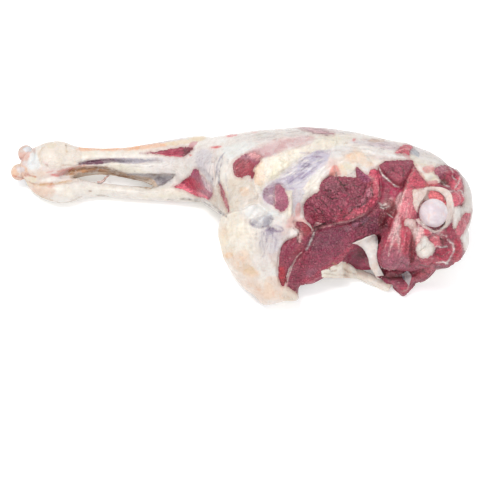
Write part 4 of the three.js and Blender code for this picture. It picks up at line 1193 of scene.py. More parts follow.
# Areas of colour with an edge: what they lie on, colour, strength, how soft the edge is in pixels, how far
# they stand up in millimetres, and the outline.
PATCHES = [
    # hock
    ("coat", shade(228, 202, 190), 0.95, 1.5, 0, [(15, 152), (16, 147), (21, 143), (28, 142.5), (35, 146),
        (35, 155), (30, 160), (22, 161), (17, 158)]),
    ("coat", shade(242, 190, 172), 0.8, 1.6, 0, [(19, 153), (26, 152), (32, 153), (30, 158), (24, 161),
        (19, 159)]),
    # a painted highlight on the upper knuckle
    ("coat", shade(230, 236, 242), 0.95, 1.4, 0, [(23.5, 148), (30, 147), (31.5, 151), (26, 152)]),
    ("coat", shade(238, 198, 172), 0.95, 1.5, 0, [(9, 170), (12, 165), (18, 162), (26, 167), (28, 173),
        (26, 178), (19, 181), (12, 177)]),
    ("coat", shade(248, 206, 172), 0.8, 1.4, 0, [(10, 170), (13, 165), (15.5, 168), (15.5, 175),
        (12, 177)]),
    # a painted highlight on the lower knuckle
    ("coat", shade(226, 226, 232), 0.7, 1.6, 0, [(17, 167), (23, 167), (24, 171), (18, 172)]),
    ("coat", shade(238, 242, 242), 0.9, 2.0, -0.4, [(32, 152), (38, 158), (40, 165), (38, 168.5),
        (29, 168.5), (28, 160)]),
    ("coat", shade(244, 233, 220), 0.85, 2.0, 0.5, [(39.5, 153), (46, 142), (56, 139), (66, 140),
        (75, 147), (82, 151), (80, 162), (66, 167), (50, 168), (41.5, 164)]),
    ("coat", shade(232, 218, 192), 0.8, 1.5, 0, [(46, 146), (52, 142.5), (56, 144), (55, 148),
        (49, 149)]),
    ("coat", shade(236, 208, 190), 0.75, 3.0, 0, [(14, 180), (24, 182), (36, 187), (50, 187), (56, 192),
        (48, 199), (34, 196), (20, 189)]),
    ("coat", shade(246, 238, 206), 0.6, 2.0, 0, [(22, 179), (30, 176.5), (36, 178), (34, 184),
        (25, 185)]),
    ("coat", shade(238, 205, 188), 0.8, 1.8, 0, [(56, 171), (70, 167.5), (86, 165.5), (97, 165.5),
        (90, 168.5), (76, 169.5), (64, 172)]),
    # shank
    ("coat", shade(244, 196, 164), 0.9, 1.6, 0, [(76, 150), (84, 146), (100, 146.5), (118, 145.5),
        (130, 144.5), (145, 143.5), (160, 143), (168, 144.5), (160, 147), (145, 149), (130, 150),
        (112, 150.7), (95, 150.7), (84, 151.2)]),
    ("coat", shade(247, 194, 158), 0.9, 1.6, 0, [(118, 147), (132, 145.5), (147, 144.5), (148, 147.5),
        (132, 149.7), (119, 150)]),
    ("coat", shade(242, 224, 194), 0.8, 1.6, 0, [(165, 143), (180, 140), (200, 136.5), (207, 137),
        (200, 141.5), (184, 144), (170, 146)]),
    ("coat", shade(228, 222, 228), 0.7, 1.4, 0, [(142, 143.5), (160, 139.5), (176, 136.5), (190, 135.5),
        (176, 141), (160, 143), (146, 145)]),
    ("coat", shade(160, 118, 134), 0.95, 1.2, -1.4, [(81, 163.8), (88, 161), (96, 159.5), (106, 158.5),
        (116, 158), (126, 158), (122, 161.8), (112, 162), (104, 163.6), (94, 164.3), (86, 164.6)]),
    ("coat", shade(178, 170, 188), 0.9, 1.2, -0.8, [(114, 158.3), (126, 158), (138, 158.5), (152, 159.7),
        (161, 160.4), (150, 161.3), (138, 163), (126, 163), (118, 162)]),
    ("coat", shade(206, 158, 118), 0.95, 1.4, -1.0, [(65, 173), (71, 169.5), (78, 168.6), (90, 169),
        (100, 168.4), (104, 170), (94, 171.6), (82, 173), (73, 175), (67, 175.5)]),
    ("coat", shade(216, 180, 150), 0.9, 1.4, -0.6, [(90, 168), (104, 168.5), (116, 171), (130, 174),
        (146, 176), (158, 184), (150, 187.7), (140, 186.6), (130, 181.7), (118, 177), (106, 173.6),
        (94, 171)]),
    # the web between the shank and the tendon: pale membrane greyed with painted shade, darkest at its lower
    # edge
    ("coat", shade(198, 190, 188), 0.95, 1.2, -2.2, [(133, 174.3), (146, 173.8), (158, 174.2),
        (168, 173.8), (175.5, 174.4), (172, 178), (168, 181.2), (163, 184.3), (158, 184.8), (155, 180.5),
        (146, 177), (138, 176)]),
    ("coat", shade(156, 150, 160), 0.9, 1.2, -0.8, [(155, 178), (168, 176.5), (172.5, 177), (167, 181.3),
        (161, 184.8), (157, 183.5)]),
    ("coat", shade(224, 202, 180), 0.85, 1.4, 0, [(130, 178), (146, 179), (156, 184), (152, 187.8),
        (142, 186.8), (132, 181.7)]),
    ("coat", shade(216, 160, 168), 0.85, 1.2, 0, [(188, 147), (190, 143), (194, 141.3), (197.5, 142),
        (195, 146), (191, 148.7)]),
    ("lean", meat(116, 66, 76), 0.85, 1.4, 0, [(183, 151), (188, 147.8), (194, 148.3), (190, 152.5),
        (186, 156), (181.5, 157.3), (184, 153.5)]),
    ("lean", meat(160, 74, 88), 0.8, 2.0, 0, [(160, 150), (180, 147), (184, 152), (178, 154),
        (162, 153)]),
    ("lean", meat(214, 112, 126), 0.8, 1.2, 0, [(154, 153), (168, 154.8), (182, 155.6), (180, 158),
        (166, 157)]),
    # calf and knee
    ("lean", meat(150, 80, 100), 0.9, 3.0, 0, [(190, 176), (195, 168), (200, 174), (207, 185), (213, 190),
        (211, 198), (203, 194), (198, 186), (192, 182)]),
    ("lean", meat(172, 62, 86), 0.9, 3.0, 0, [(184, 181), (190, 177), (196, 180), (202, 186),
        (204, 189.5), (196, 189), (188, 186)]),
    ("lean", meat(214, 112, 126), 0.9, 2.4, 0, [(174, 186.5), (184, 184), (190, 189), (200, 192),
        (207, 196), (208, 200), (198, 197), (188, 193), (180, 190)]),
    ("lean", meat(186, 168, 174), 0.8, 1.6, 0.3, [(202, 176), (207, 181), (213, 188), (212, 193),
        (206, 188), (202, 181)]),
    ("coat", shade(186, 180, 185), 0.8, 2.0, -0.5, [(199, 160), (204, 163), (208, 172), (213, 177),
        (213.5, 190), (208, 181), (202, 173), (197, 167)]),
    ("coat", shade(216, 210, 216), 0.8, 2.5, 0, [(196, 153), (204, 149), (211, 152), (211, 161),
        (206, 169), (199, 166), (195, 159)]),
    ("coat", shade(224, 209, 194), 0.85, 2.0, 0, [(212, 189), (218, 186), (224, 200), (228, 213),
        (224, 215.5), (214, 206), (209, 202)]),
    ("lean", meat(150, 60, 78), 0.9, 5.0, 0, [(233, 166), (239, 159), (248, 160), (255, 166), (254, 178),
        (246, 176), (238, 179), (233, 174)]),
    ("lean", meat(206, 146, 146), 0.85, 4.0, 0, [(246, 153), (258, 148), (284, 146), (282, 154),
        (266, 157), (256, 160)]),
    # top of the thigh
    ("coat", shade(218, 202, 206), 0.85, 1.6, 0, [(366, 142), (374, 140.5), (384, 140.8), (394, 142.5),
        (400, 147), (396, 150.5), (388, 150), (378, 147), (370, 145)]),
    ("coat", shade(214, 188, 172), 0.9, 1.2, 0, [(367, 141), (372, 139.2), (378, 138.6), (385, 139.2),
        (383.5, 141.6), (376, 142.6), (370, 142.2)]),
    ("coat", shade(251, 228, 206), 0.85, 2.0, 0, [(349, 157), (356, 152.5), (362, 152.5), (367, 155),
        (367, 160), (373, 164), (366, 167), (358, 163.5), (351, 163)]),
    ("coat", shade(249, 222, 196), 0.7, 1.6, 0, [(338, 164), (344, 166), (347, 175), (340, 173)]),
    ("coat", shade(251, 248, 246), 0.9, 1.6, 0.4, [(361, 145.5), (372, 149.5), (384, 152.5), (400, 154.5),
        (409, 158), (396, 157.3), (384, 156), (372, 154), (361, 150)]),
    ("coat", shade(230, 228, 228), 0.7, 2.2, 0, [(330, 146), (350, 147), (352, 152), (340, 157),
        (328, 156)]),
    ("coat", shade(224, 162, 162), 0.85, 1.2, 0, [(403, 153), (409.5, 153), (411, 160.5), (405, 157.5)]),
    ("coat", shade(166, 171, 180), 0.9, 1.4, -0.4, [(411, 148.5), (415, 149.5), (419, 153.5), (418, 157),
        (413, 155.5), (410, 152)]),
    ("coat", shade(242, 234, 216), 0.85, 1.6, 0, [(410, 154), (416, 156), (421, 160), (416, 166),
        (412, 162)]),
    ("lean", meat(200, 98, 110), 0.85, 1.6, 0, FAR_PATCH),
    # thigh
    ("coat", shade(232, 212, 208), 0.9, 3.0, 0, [(246, 151), (254, 147), (264, 143), (272, 139.5),
        (286, 137), (300, 135.5), (314, 137), (313, 142), (306, 147), (296, 148), (288, 149.5),
        (281, 151), (276, 156), (266, 158), (256, 157)]),
    ("coat", shade(224, 190, 188), 0.7, 3.0, 0, [(264, 147), (272, 142), (286, 139.5), (300, 138.5),
        (310, 139.5), (303, 145), (290, 147), (281, 149), (274, 153), (266, 154)]),
    ("coat", CREAM, 0.8, 1.6, 0, THIGH_FAT),
    ("coat", shade(250, 224, 198), 0.8, 1.2, 0, [(255, 167), (263.5, 162), (264.5, 173), (264, 184),
        (256, 184.5), (254, 176)]),
    ("coat", shade(246, 240, 212), 0.7, 2.5, 0, [(278, 163), (288, 160), (290, 165), (282, 169),
        (278, 178), (270, 180), (272, 172)]),
    ("coat", shade(214, 208, 218), 0.9, 1.8, -0.7, [(265, 191), (271, 184), (280, 178), (288, 171),
        (296, 166), (300, 160), (308, 156), (315, 151.5), (322, 150), (331, 151), (329, 158), (326, 164),
        (319, 170), (313, 176), (307, 183), (302, 189), (294, 190.5), (286, 190), (280, 186), (274, 186),
        (268, 192)]),
    ("coat", shade(188, 172, 200), 0.8, 1.4, 0, [(283, 181), (290, 177.5), (300, 174), (311, 171),
        (314, 173), (306, 177.5), (296, 181), (288, 184.5), (283, 184)]),
    ("coat", shade(164, 130, 152), 0.9, 1.4, 0, [(262.5, 196), (263.5, 190), (267, 186.5), (272, 184.5),
        (278, 183), (281, 186), (276, 192), (275, 199), (276, 206), (272, 205), (267, 203),
        (263.5, 200)]),
    ("coat", shade(230, 218, 203), 0.8, 3.0, 0, [(229, 180), (246, 178), (253, 184), (254, 192),
        (260, 196), (262, 204), (250, 207), (240, 208), (231, 210), (229, 200)]),
    ("coat", shade(240, 208, 176), 0.7, 2.0, 0, [(240, 189), (245, 187), (249, 189), (248, 195),
        (242, 196)]),
    ("coat", shade(216, 214, 208), 0.6, 1.4, 0, [(255, 134), (262, 131.5), (268, 134), (264, 138),
        (257, 137)]),
    ("coat", shade(232, 236, 232), 0.8, 2.5, 0, [(222, 150), (232, 144), (246, 142), (258, 143),
        (248, 150), (238, 156), (228, 160)]),
    ("coat", CREAM, 0.9, 1.0, 0.8, [(286, 192), (292, 190), (293, 198), (292, 208), (291, 216),
        (287.5, 214), (288.5, 204)]),
    ("coat", shade(212, 204, 214), 0.85, 1.4, -0.3, [(293, 191), (304, 190), (303, 197), (299, 204),
        (297, 210), (293.5, 208)]),
    ("coat", shade(232, 160, 156), 0.7, 1.2, 0, [(296, 205), (300, 203), (301, 210), (299, 218),
        (296, 216)]),
    ("coat", shade(246, 206, 200), 0.9, 1.8, 0, [(288, 220), (294, 217), (300, 217), (307, 222),
        (300, 224), (292, 226), (287, 226)]),
    ("coat", shade(240, 160, 150), 0.8, 1.6, 0.4, [(329, 175), (331, 168), (335, 165), (338, 168),
        (341, 175), (336, 176)]),
    # haunch
    ("coat", shade(242, 243, 241), 0.9, 2.5, 0, [(246, 207), (256, 204), (266, 206), (276, 211),
        (281, 215), (272, 217), (262, 215), (252, 219), (246, 216)]),
    ("coat", shade(206, 206, 208), 0.75, 2.4, 0, [(258, 214), (268, 213), (273, 217), (271, 222),
        (264, 225), (257, 224), (251, 222)]),
    ("coat", shade(220, 213, 218), 0.7, 4.0, 0, [(262, 228), (276, 225), (282, 229), (280, 240),
        (277, 250), (270, 254), (264, 248), (260, 238)]),
    ("coat", shade(226, 210, 200), 0.7, 3.0, 0, [(271, 256), (280, 253), (281, 266), (275, 269)]),
    ("coat", shade(250, 213, 178), 0.8, 1.6, 0.3, [(226, 254), (229, 252), (233, 254), (232, 258),
        (228, 259), (225.5, 257)]),
    ("coat", shade(246, 218, 194), 0.75, 4.0, 0, [(230, 262), (238, 252), (247, 250), (250, 258),
        (252, 266), (260, 274), (252, 277), (240, 273)]),
    ("coat", shade(230, 205, 174), 0.75, 2.5, 0, [(242, 265), (248, 263), (254, 268), (257, 273),
        (248, 273), (243, 270)]),
    ("coat", shade(249, 222, 200), 0.8, 2.2, 0, [(266, 278), (274, 276), (282, 280), (284, 288),
        (284, 298), (272, 300), (264, 296)]),
    ("coat", shade(230, 214, 196), 0.9, 2.0, 0.4, [(283, 288), (290, 286.5), (297, 288), (298, 296),
        (295, 301), (285, 302)]),
    # hip, pale tissue
    ("coat", shade(246, 232, 212), 0.8, 1.5, 0, HIP_FAT),
    ("coat", shade(232, 150, 152), 0.8, 1.2, 0.4, [(422, 168), (426, 166), (428, 170), (425, 173)]),
    ("coat", shade(238, 170, 166), 0.8, 1.2, 0.3, [(429, 166), (433, 165), (434, 170), (431, 172)]),
    ("coat", shade(214, 120, 130), 0.8, 1.2, -0.8, [(430, 182.5), (435, 180), (438, 182), (434, 185)]),
    ("coat", shade(250, 240, 208), 0.8, 1.4, 0.8, [(424, 176), (430, 174), (435, 176), (434, 180),
        (428, 181)]),
    ("coat", shade(248, 236, 228), 0.8, 1.4, 0.8, [(415, 166), (419, 164), (423, 168), (425, 174),
        (420, 173)]),
    ("coat", shade(240, 214, 206), 0.9, 1.5, 0, RIM_BLOCK),
    ("coat", shade(247, 236, 226), 0.95, 1.5, 0, RIM_CRESCENT),
    ("coat", shade(242, 228, 226), 0.95, 1.5, 0, BALL_SLING),
    ("coat", shade(238, 208, 204), 0.95, 1.5, 0, RIDGE_BLOCK),
    ("coat", shade(241, 235, 228), 0.95, 1.5, 0, KNOB_CAP),
    ("coat", shade(174, 172, 184), 0.95, 1.5, 0, BLUE_DIAMOND),
    # big muscle
    ("lean", meat(204, 92, 110), 0.85, 2.0, 0.7, [(364, 166), (371, 169), (377, 170), (380, 178),
        (380.5, 190), (379, 200), (372, 206), (362, 214), (350, 219), (338, 223), (338, 219), (348, 215),
        (354, 209), (362, 207), (370, 200), (374, 190), (371, 180)]),
    ("lean", meat(190, 132, 142), 0.7, 1.2, 0.9, [(367, 190), (371, 187), (373, 191), (370, 197),
        (366, 196)]),
    ("lean", meat(182, 122, 132), 0.7, 1.2, 0.7, [(361, 200), (365, 198), (365.5, 204), (361, 206)]),
    ("lean", meat(180, 116, 128), 0.6, 1.2, 0.7, [(355, 205), (359, 203), (359, 208), (355, 210)]),
    ("lean", meat(176, 112, 124), 0.6, 1.2, 0.7, [(348, 208), (352, 207), (352, 211), (348, 212)]),
    ("lean", meat(156, 94, 116), 0.85, 1.2, 0.8, [(356, 168), (362, 172), (368, 175), (372, 180),
        (366, 183), (360, 179), (358, 175)]),
    ("lean", meat(172, 112, 122), 0.6, 3.0, 0, [(324, 183), (330, 176), (337, 178), (339, 186),
        (334, 193), (326, 190)]),
    ("lean", meat(150, 106, 120), 0.75, 1.2, 1.0, [(352, 221), (357, 219), (360, 223), (356, 227),
        (352, 226)]),
    ("lean", meat(140, 96, 112), 0.75, 1.2, 1.0, [(360, 218), (365, 215), (369, 218), (366, 223),
        (361, 223)]),
    ("lean", meat(146, 100, 110), 0.7, 1.2, 0.8, [(344, 226), (350, 226), (352, 230), (346, 232)]),
    ("lean", meat(118, 70, 84), 0.7, 4.0, 0, [(366, 226), (376, 214), (388, 212), (388, 226), (378, 232),
        (368, 234)]),
    ("lean", meat(118, 72, 84), 0.6, 4.0, 0, [(312, 240), (320, 231), (338, 228), (346, 232), (336, 244),
        (322, 250), (312, 250)]),
    ("lean", meat(176, 84, 98), 0.7, 3.0, 0, [(298, 287), (308, 276), (322, 268), (336, 258), (350, 246),
        (356, 243), (346, 258), (334, 267), (322, 278), (308, 284)]),
    ("lean", meat(150, 100, 112), 0.6, 2.0, 0.5, [(306, 272), (312, 268), (318, 270), (314, 275),
        (308, 277)]),
    # side muscle
    ("lean", meat(148, 57, 76), 0.85, 2.0, 0, [(300, 222), (308, 225), (311, 230), (306, 237), (302, 234),
        (303, 228)]),
    ("lean", meat(172, 55, 73), 0.6, 2.4, 0, [(280, 266), (284, 269), (286, 276), (285, 286), (281, 282),
        (279, 275)]),
    ("lean", meat(146, 74, 90), 0.7, 2.0, 0, [(283, 250), (287, 243), (293, 239), (299, 240), (296, 250),
        (288, 255)]),
    ("lean", meat(206, 170, 166), 0.9, 1.2, 0.8, [(295, 227), (299, 231), (301, 237), (300, 243),
        (297, 239), (297, 233)]),
    # between the muscles
    ("lean", meat(148, 62, 86), 0.85, 2.0, -0.5, [(380, 178), (386, 184), (392, 187), (399, 188),
        (402, 191), (398, 196), (390, 200), (383, 205), (380, 198)]),
    ("lean", meat(162, 66, 92), 0.8, 2.0, 0, [(391, 189), (397, 187), (402, 189), (400, 194), (394, 197),
        (390, 194)]),
    ("lean", meat(206, 170, 170), 0.8, 2.0, 0.5, [(396, 199), (401, 192), (404, 195), (402, 203),
        (398, 210), (395, 207)]),
    ("lean", meat(134, 57, 75), 0.85, 2.0, -0.8, [(383, 203), (391, 200), (396, 206), (397, 214),
        (392, 217), (385, 213)]),
    ("lean", meat(124, 57, 75), 0.9, 1.6, -0.9, [(380, 212), (385, 214), (388, 219), (386, 226),
        (381, 230), (378, 222)]),
    ("lean", meat(164, 62, 84), 0.85, 1.2, 0.8, [(388, 217), (394, 219), (396, 222), (392, 227),
        (388, 226)]),
    # hip
    ("lean", meat(192, 92, 104), 0.9, 1.6, 0.8, [(413, 168), (417, 172), (421, 178), (427, 184),
        (420, 188), (412, 189), (406, 192), (402, 199), (404, 188), (408, 178)]),
    ("lean", meat(184, 92, 102), 0.85, 3.0, 0.6, [(402, 198), (410, 194), (413, 202), (416, 212),
        (410, 217), (402, 218), (397, 214), (399, 205)]),
    ("lean", meat(174, 70, 82), 0.85, 1.5, 0, [(402, 217), (406, 218), (406, 226), (402, 230),
        (399, 224)]),
    ("lean", meat(204, 150, 154), 0.8, 3.0, 0.5, [(393, 222), (398, 216), (401, 220), (400, 230),
        (396, 240), (390, 247), (391, 234)]),
    ("lean", meat(190, 92, 104), 0.85, 3.0, 0.4, [(401, 230), (408, 227), (410, 234), (407, 243),
        (402, 252), (396, 253), (398, 240)]),
    ("lean", meat(122, 55, 73), 0.85, 1.2, -1.4, [(412, 231), (415, 236), (415, 248), (414, 261),
        (410, 263), (409, 250), (410, 240)]),
    ("lean", meat(160, 102, 114), 0.7, 4.0, 0, [(382, 251), (392, 246), (402, 253), (409, 262),
        (404, 268), (390, 268), (381, 262)]),
    ("lean", meat(232, 130, 134), 0.95, 1.2, 0, [(425.5, 192.5), (431, 190.5), (437, 191.5), (442, 195),
        (446, 200.5), (447, 205), (443, 203.5), (438, 201), (427, 200)]),
    ("coat", shade(238, 206, 202), 0.9, 2.0, 0.8, [(412, 207), (417, 205), (419, 212), (419, 219),
        (414, 219), (412, 213)]),
    ("lean", meat(196, 78, 100), 0.9, 1.2, 1.8, [(423, 231), (427, 228.5), (431, 230), (432, 234),
        (428, 236.5), (424, 235)]),
    ("lean", meat(212, 92, 104), 0.85, 2.0, 0.6, [(416, 236), (421, 233), (424, 238), (421, 243),
        (416, 244)]),
    ("lean", meat(214, 112, 122), 0.85, 2.0, 1.0, [(431, 237), (436, 235), (440, 239), (440, 246),
        (434, 248), (431, 244)]),
    ("lean", meat(150, 64, 84), 0.85, 1.5, 1.2, [(441, 228), (446, 224), (450, 224), (452, 230),
        (449, 235), (443, 235), (439, 232)]),
    ("lean", meat(138, 58, 78), 0.8, 1.2, -0.8, [(440, 236), (444, 237), (447, 242), (443, 245),
        (440, 242)]),
    ("lean", meat(176, 70, 88), 0.85, 2.0, 1.6, [(437, 252), (444, 248), (450, 249), (451, 257),
        (447, 261), (439, 262), (434, 258)]),
    ("lean", meat(178, 66, 84), 0.85, 2.0, 1.8, [(455, 240), (460, 242), (463, 250), (460, 258),
        (456, 264), (453, 264), (454, 252)]),
    ("lean", meat(178, 98, 118), 0.85, 1.5, 1.6, [(434, 170), (438, 166), (444, 166), (446, 171),
        (442, 175), (436, 175)]),
    ("lean", meat(156, 62, 86), 0.9, 1.5, 1.0, [(445, 172), (451, 168), (458, 172), (459, 177),
        (453, 181), (447, 180)]),
    ("lean", meat(200, 92, 106), 0.85, 1.5, 1.0, [(452, 182), (458, 176), (461, 180), (461, 188),
        (455, 190), (451, 188)]),
    ("lean", meat(204, 106, 118), 0.9, 1.5, 1.8, [(451, 195), (457, 192.5), (463, 196), (464, 202),
        (458, 206), (452, 207)]),
    ("lean", meat(118, 48, 66), 0.95, 1.0, -1.0, [(440.5, 181), (444, 179), (447, 182), (445, 186),
        (441, 185)]),
    ("lean", meat(184, 104, 114), 0.9, 1.5, 0, SIDE_STREAK),
    ("coat", shade(204, 146, 154), 0.8, 3.5, 0, [(246, 154), (256, 149), (270, 146), (284, 145.5),
        (280, 150), (272, 154.5), (262, 158)]),
    ("coat", shade(222, 186, 188), 0.7, 4, 0, [(262, 149), (278, 142), (298, 137.5), (314, 137),
        (302, 143), (288, 148), (276, 152)]),
    ("coat", shade(204, 200, 222), 0.6, 4, 0, [(284, 186), (296, 168), (306, 157), (322, 151), (328, 157),
        (316, 170), (302, 182), (290, 190)]),
    ("coat", shade(164, 152, 182), 0.6, 2.5, 0, [(276, 181), (290, 175.4), (304, 172), (307, 175),
        (293, 181), (280, 185)]),
    ("lean", meat(152, 92, 108), 0.7, 1.5, 0, VEILED_PATCH),
    ("coat", shade(224, 190, 156), 0.85, 2, 0, [(72, 172), (84, 174), (98, 173.4), (108, 173), (106, 176),
        (94, 178), (78, 179), (70, 177)]),
    ("coat", shade(150, 146, 164), 0.6, 2, 0, [(262, 219), (270, 215), (272, 221), (267, 226)]),
    ("coat", shade(160, 148, 178), 0.7, 1.5, 0, [(265, 229), (272, 227), (274, 232), (269, 235),
        (266, 233)]),
    ("coat", shade(236, 160, 154), 0.85, 1.5, 0.5, [(423, 168), (428, 166), (431, 169), (429, 173),
        (425, 173)]),
    ("coat", shade(230, 140, 138), 0.85, 1.2, 0.5, [(431, 167), (435, 167), (434, 171), (431.5, 171)]),
    ("coat", shade(226, 120, 122), 0.9, 1.2, -0.5, [(424, 183), (430, 181), (437, 182), (436, 186),
        (428, 186)]),
    ("coat", shade(238, 176, 168), 0.8, 1.6, 0.4, [(418, 170), (421, 172), (425, 179), (422, 179)]),
    ("coat", shade(244, 236, 226), 0.8, 1.2, 0.6, [(424, 175), (429, 174), (433, 177), (430, 180),
        (426, 179)]),
    ("lean", meat(214, 138, 144), 0.65, 2.5, 0.3, [(405, 192), (413, 190), (413, 200), (412, 216),
        (404, 218), (399, 212)]),
    ("lean", meat(232, 196, 192), 0.7, 2.0, 0.3, [(417, 229), (423, 228), (425, 233), (421, 240),
        (417, 242)]),
    ("lean", meat(196, 82, 96), 0.85, 1.5, 0.6, [(425, 229), (430, 229.5), (431, 233), (427, 236),
        (424, 233)]),
    ("lean", meat(136, 58, 78), 0.7, 2.0, 0, [(384, 271), (392, 269), (400, 270), (404, 273), (402, 278),
        (394, 279), (388, 277)]),
]


def patched(colours, spots, kind, share):
    """Areas of colour with an edge laid over the colours that are there."""
    for on, colour, strength, soft, _, outline in PATCHES:
        if on == kind:
            weight = smooth(depth_inside(spots, outline), -soft / 2, soft / 2) * strength * share
            colours += (colour - colours) * weight[:, None]
    return colours


def drawn_on(colours, spots, share):
    """Lines of colour drawn over the colours that are there, some of them painted shade in clefts and
    creases.
    """
    for colour, wide, strength, line in LINE_TINTS:
        weight = nearness(spots, line, wide) * np.minimum(strength * share, 1)
        colours += (colour - colours) * weight[:, None]
    return colours


def overlaid(start, spots, tints, share):
    """Colours laid over the first one, each as a soft spot."""
    colours = np.array(start, float)
    for colour, x, y, wide, high, turn, strength in tints:
        weight = spot_weight(spots, x, y, wide, high, turn) * strength * share
        colours += (colour - colours) * weight[:, None]
    return colours


def spread(spots, blobs, share):
    """The strongest of the soft spots at each place."""
    total = np.zeros(len(spots))
    for x, y, wide, high, turn, strength in blobs:
        total = np.maximum(total, spot_weight(spots, x, y, wide, high, turn) * strength)
    return total * share


# The hidden sides' coat: colour, size, channel, and the unevenness at which it starts and is full.
HIDDEN_TINTS = (
    (PEARL, 22 * MM, 0, -0.1, 0.4), (PINK, 16 * MM, 1, 0.0, 0.5), (TALLOW, 20 * MM, 2, 0.0, 0.5),
    (LILAC, 18 * MM, 3, 0.1, 0.5), (ROSE, 14 * MM, 2, 0.25, 0.6), (PEACH, 24 * MM, 1, 0.3, 0.8),
)
HIDDEN_TINT_STRENGTH = 0.7
COAT_DRAWN_OUT = np.array([0.45, 1.0, 1.0])  # patterns are longer along the leg than across it
LEAN_DRAWN_OUT = np.array([0.4, 1.0, 1.0])
LEAN_LUMPS = (26 * MM, 3, 2)  # size, octaves and channel
HIP_END = (0.13, 0.23)  # in metres from the middle, as the next one
SHANK_START = (0.03, 0.10)
LEAN_FROM = 0.52  # the unevenness at which meat shows through
MORE_AT_HIP = 0.12
LESS_ON_SHANK = 0.6
LEAN_REACH = 20  # in pixels


def unseen_coat(places):
    """Fat and membrane of the sides that the photograph doesn't show."""
    cover = np.tile(CREAM, (len(places), 1))
    drawn = places * COAT_DRAWN_OUT
    for colour, size, channel, low, high in HIDDEN_TINTS:
        share = HIDDEN_TINT_STRENGTH * smooth(rough_lumps(drawn, size, 3, channel), low, high)
        cover += (colour - cover) * share[:, None]
    return cover


def unseen_lean(places):
    """Where meat shows through on the other sides, as distances like depth_inside's."""
    hip_end = smooth(places[:, 0], *HIP_END)
    shank = smooth(-places[:, 0], *SHANK_START)
    uneven = rough_lumps(places * LEAN_DRAWN_OUT, *LEAN_LUMPS)
    return (uneven - LEAN_FROM + MORE_AT_HIP * hip_end - LESS_ON_SHANK * shank) * LEAN_REACH


TURNS_AWAY = (-0.3, 0.05)  # the photograph's marks fade out as the surface turns away from the view
# How marks stray from where they are named: size of the waves, octaves, channels, pixels.
MARKS_WANDER = ((7 * MM, 3, (2, 3), 0.8), (2.6 * MM, 2, (0, 1), 0.6))
LINE_LUMPS = (3.2 * MM, 2, 1)  # what breaks drawn lines up: size, octaves and channel
LINE_BASE = 0.7
LINE_VARIES = 0.9
LINE_MOST = 1.2
# Blotches on a piece that has a colour of its own: colour, size, channel.
BLOTCHES = ((PEACH, 11 * MM, 0), (PINK, 9 * MM, 1), (PEARL, 8 * MM, 2))
BLOTCH_STRENGTH = 0.5
BLOTCH_RANGE = (0.0, 0.5)  # the unevenness at which a blotch starts and is full
# how dark the painted shade in the cracks is
CRACK_SHADE_STRENGTH = 0.8
HIDDEN_VEIL = 0.85
HIDDEN_SILVER = 0.45
HIDDEN_FAT = 0.4


def coat_tones(places, spots, seen, broken, marked, base):
    """The colour of fat and membrane at each place: what shows there, or a piece's own with blotches."""
    if base is None:
        tones = unseen_coat(places) * (1 - seen)[:, None] + MILK * seen[:, None]
        tones = overlaid(tones, spots, COAT_TINTS, seen)
        if marked:
            tones = patched(tones, spots, "coat", seen)
    else:
        tones = np.tile(base, (len(places), 1))
        for colour, size, channel in BLOTCHES:
            share = BLOTCH_STRENGTH * smooth(rough_lumps(places, size, 3, channel), *BLOTCH_RANGE)
            tones += (colour - tones) * share[:, None]
    return drawn_on(tones, spots, seen * broken) if marked else tones


def lean_tones(spots, seen, broken, marked):
    """The colour of bare meat at each place, with painted shade along its cracks."""
    tones = overlaid(np.tile(WINE, (len(spots), 1)), spots, LEAN_TINTS, seen)
    if marked:
        tones = patched(tones, spots, "lean", seen)
        # painted shade along the cracks
        for line in CRACKS:
            share = CRACK_SHADE_STRENGTH * nearness(spots, line, CRACK_WIDTH) * seen * broken
            tones += (BLOOD - tones) * share[:, None]
        tones = drawn_on(tones, spots, seen * broken)
    return tones


def bareness(places, spots, seen, kind):
    """Distance inside bare meat, less than nought where fat or membrane covers it."""
    if kind == "meat":
        return np.full(len(places), REACH)
    if kind == "coat":
        return np.full(len(places), -REACH)
    lean = np.max([depth_inside(spots, outline) for outline in BARE_MEAT], 0)
    for outline in PALE_OVER:
        lean = np.minimum(lean, -depth_inside(spots, outline))
    return lean * seen + unseen_lean(places) * (1 - seen)


def paint(piece, kind="skin", base=None):
    """Stores what the materials read at each place.

    The kind is skin, meat, coat or under (a skin that others cover), and base is a coat's colour.
    """
    places = places_of(piece)
    seen = smooth(facing_eye(places, normals_of(piece)), *TURNS_AWAY)
    hidden = 1 - seen
    spots = in_photo(places)
    for size, octaves, channels, pixels in MARKS_WANDER:
        spots = spots + wander(places, size, octaves, channels) * pixels
    broken = np.clip(LINE_BASE + LINE_VARIES * rough_lumps(places, *LINE_LUMPS), 0, LINE_MOST)
    marked = kind != "under"
    keep_colour(piece, "coat_tone", coat_tones(places, spots, seen, broken, marked, base))
    keep_colour(piece, "lean_tone", lean_tones(spots, seen, broken, marked))
    keep_value(piece, "lean", bareness(places, spots, seen, kind))
    keep_value(piece, "veil", spread(spots, VEILS, seen) + HIDDEN_VEIL * hidden)
    keep_value(piece, "silver", spread(spots, SILVER, seen) + HIDDEN_SILVER * hidden)
    keep_value(piece, "rising", spread(spots, RISING, seen))
    keep_value(piece, "upright", spread(spots, UPRIGHT, seen))
    keep_value(piece, "cross_cut", spread(spots, CROSS_CUT, seen))
    keep_value(piece, "fat", fatness(spots) * seen + HIDDEN_FAT * hidden)


# ---- cut muscles ------------------------------------------------------------------------------------------

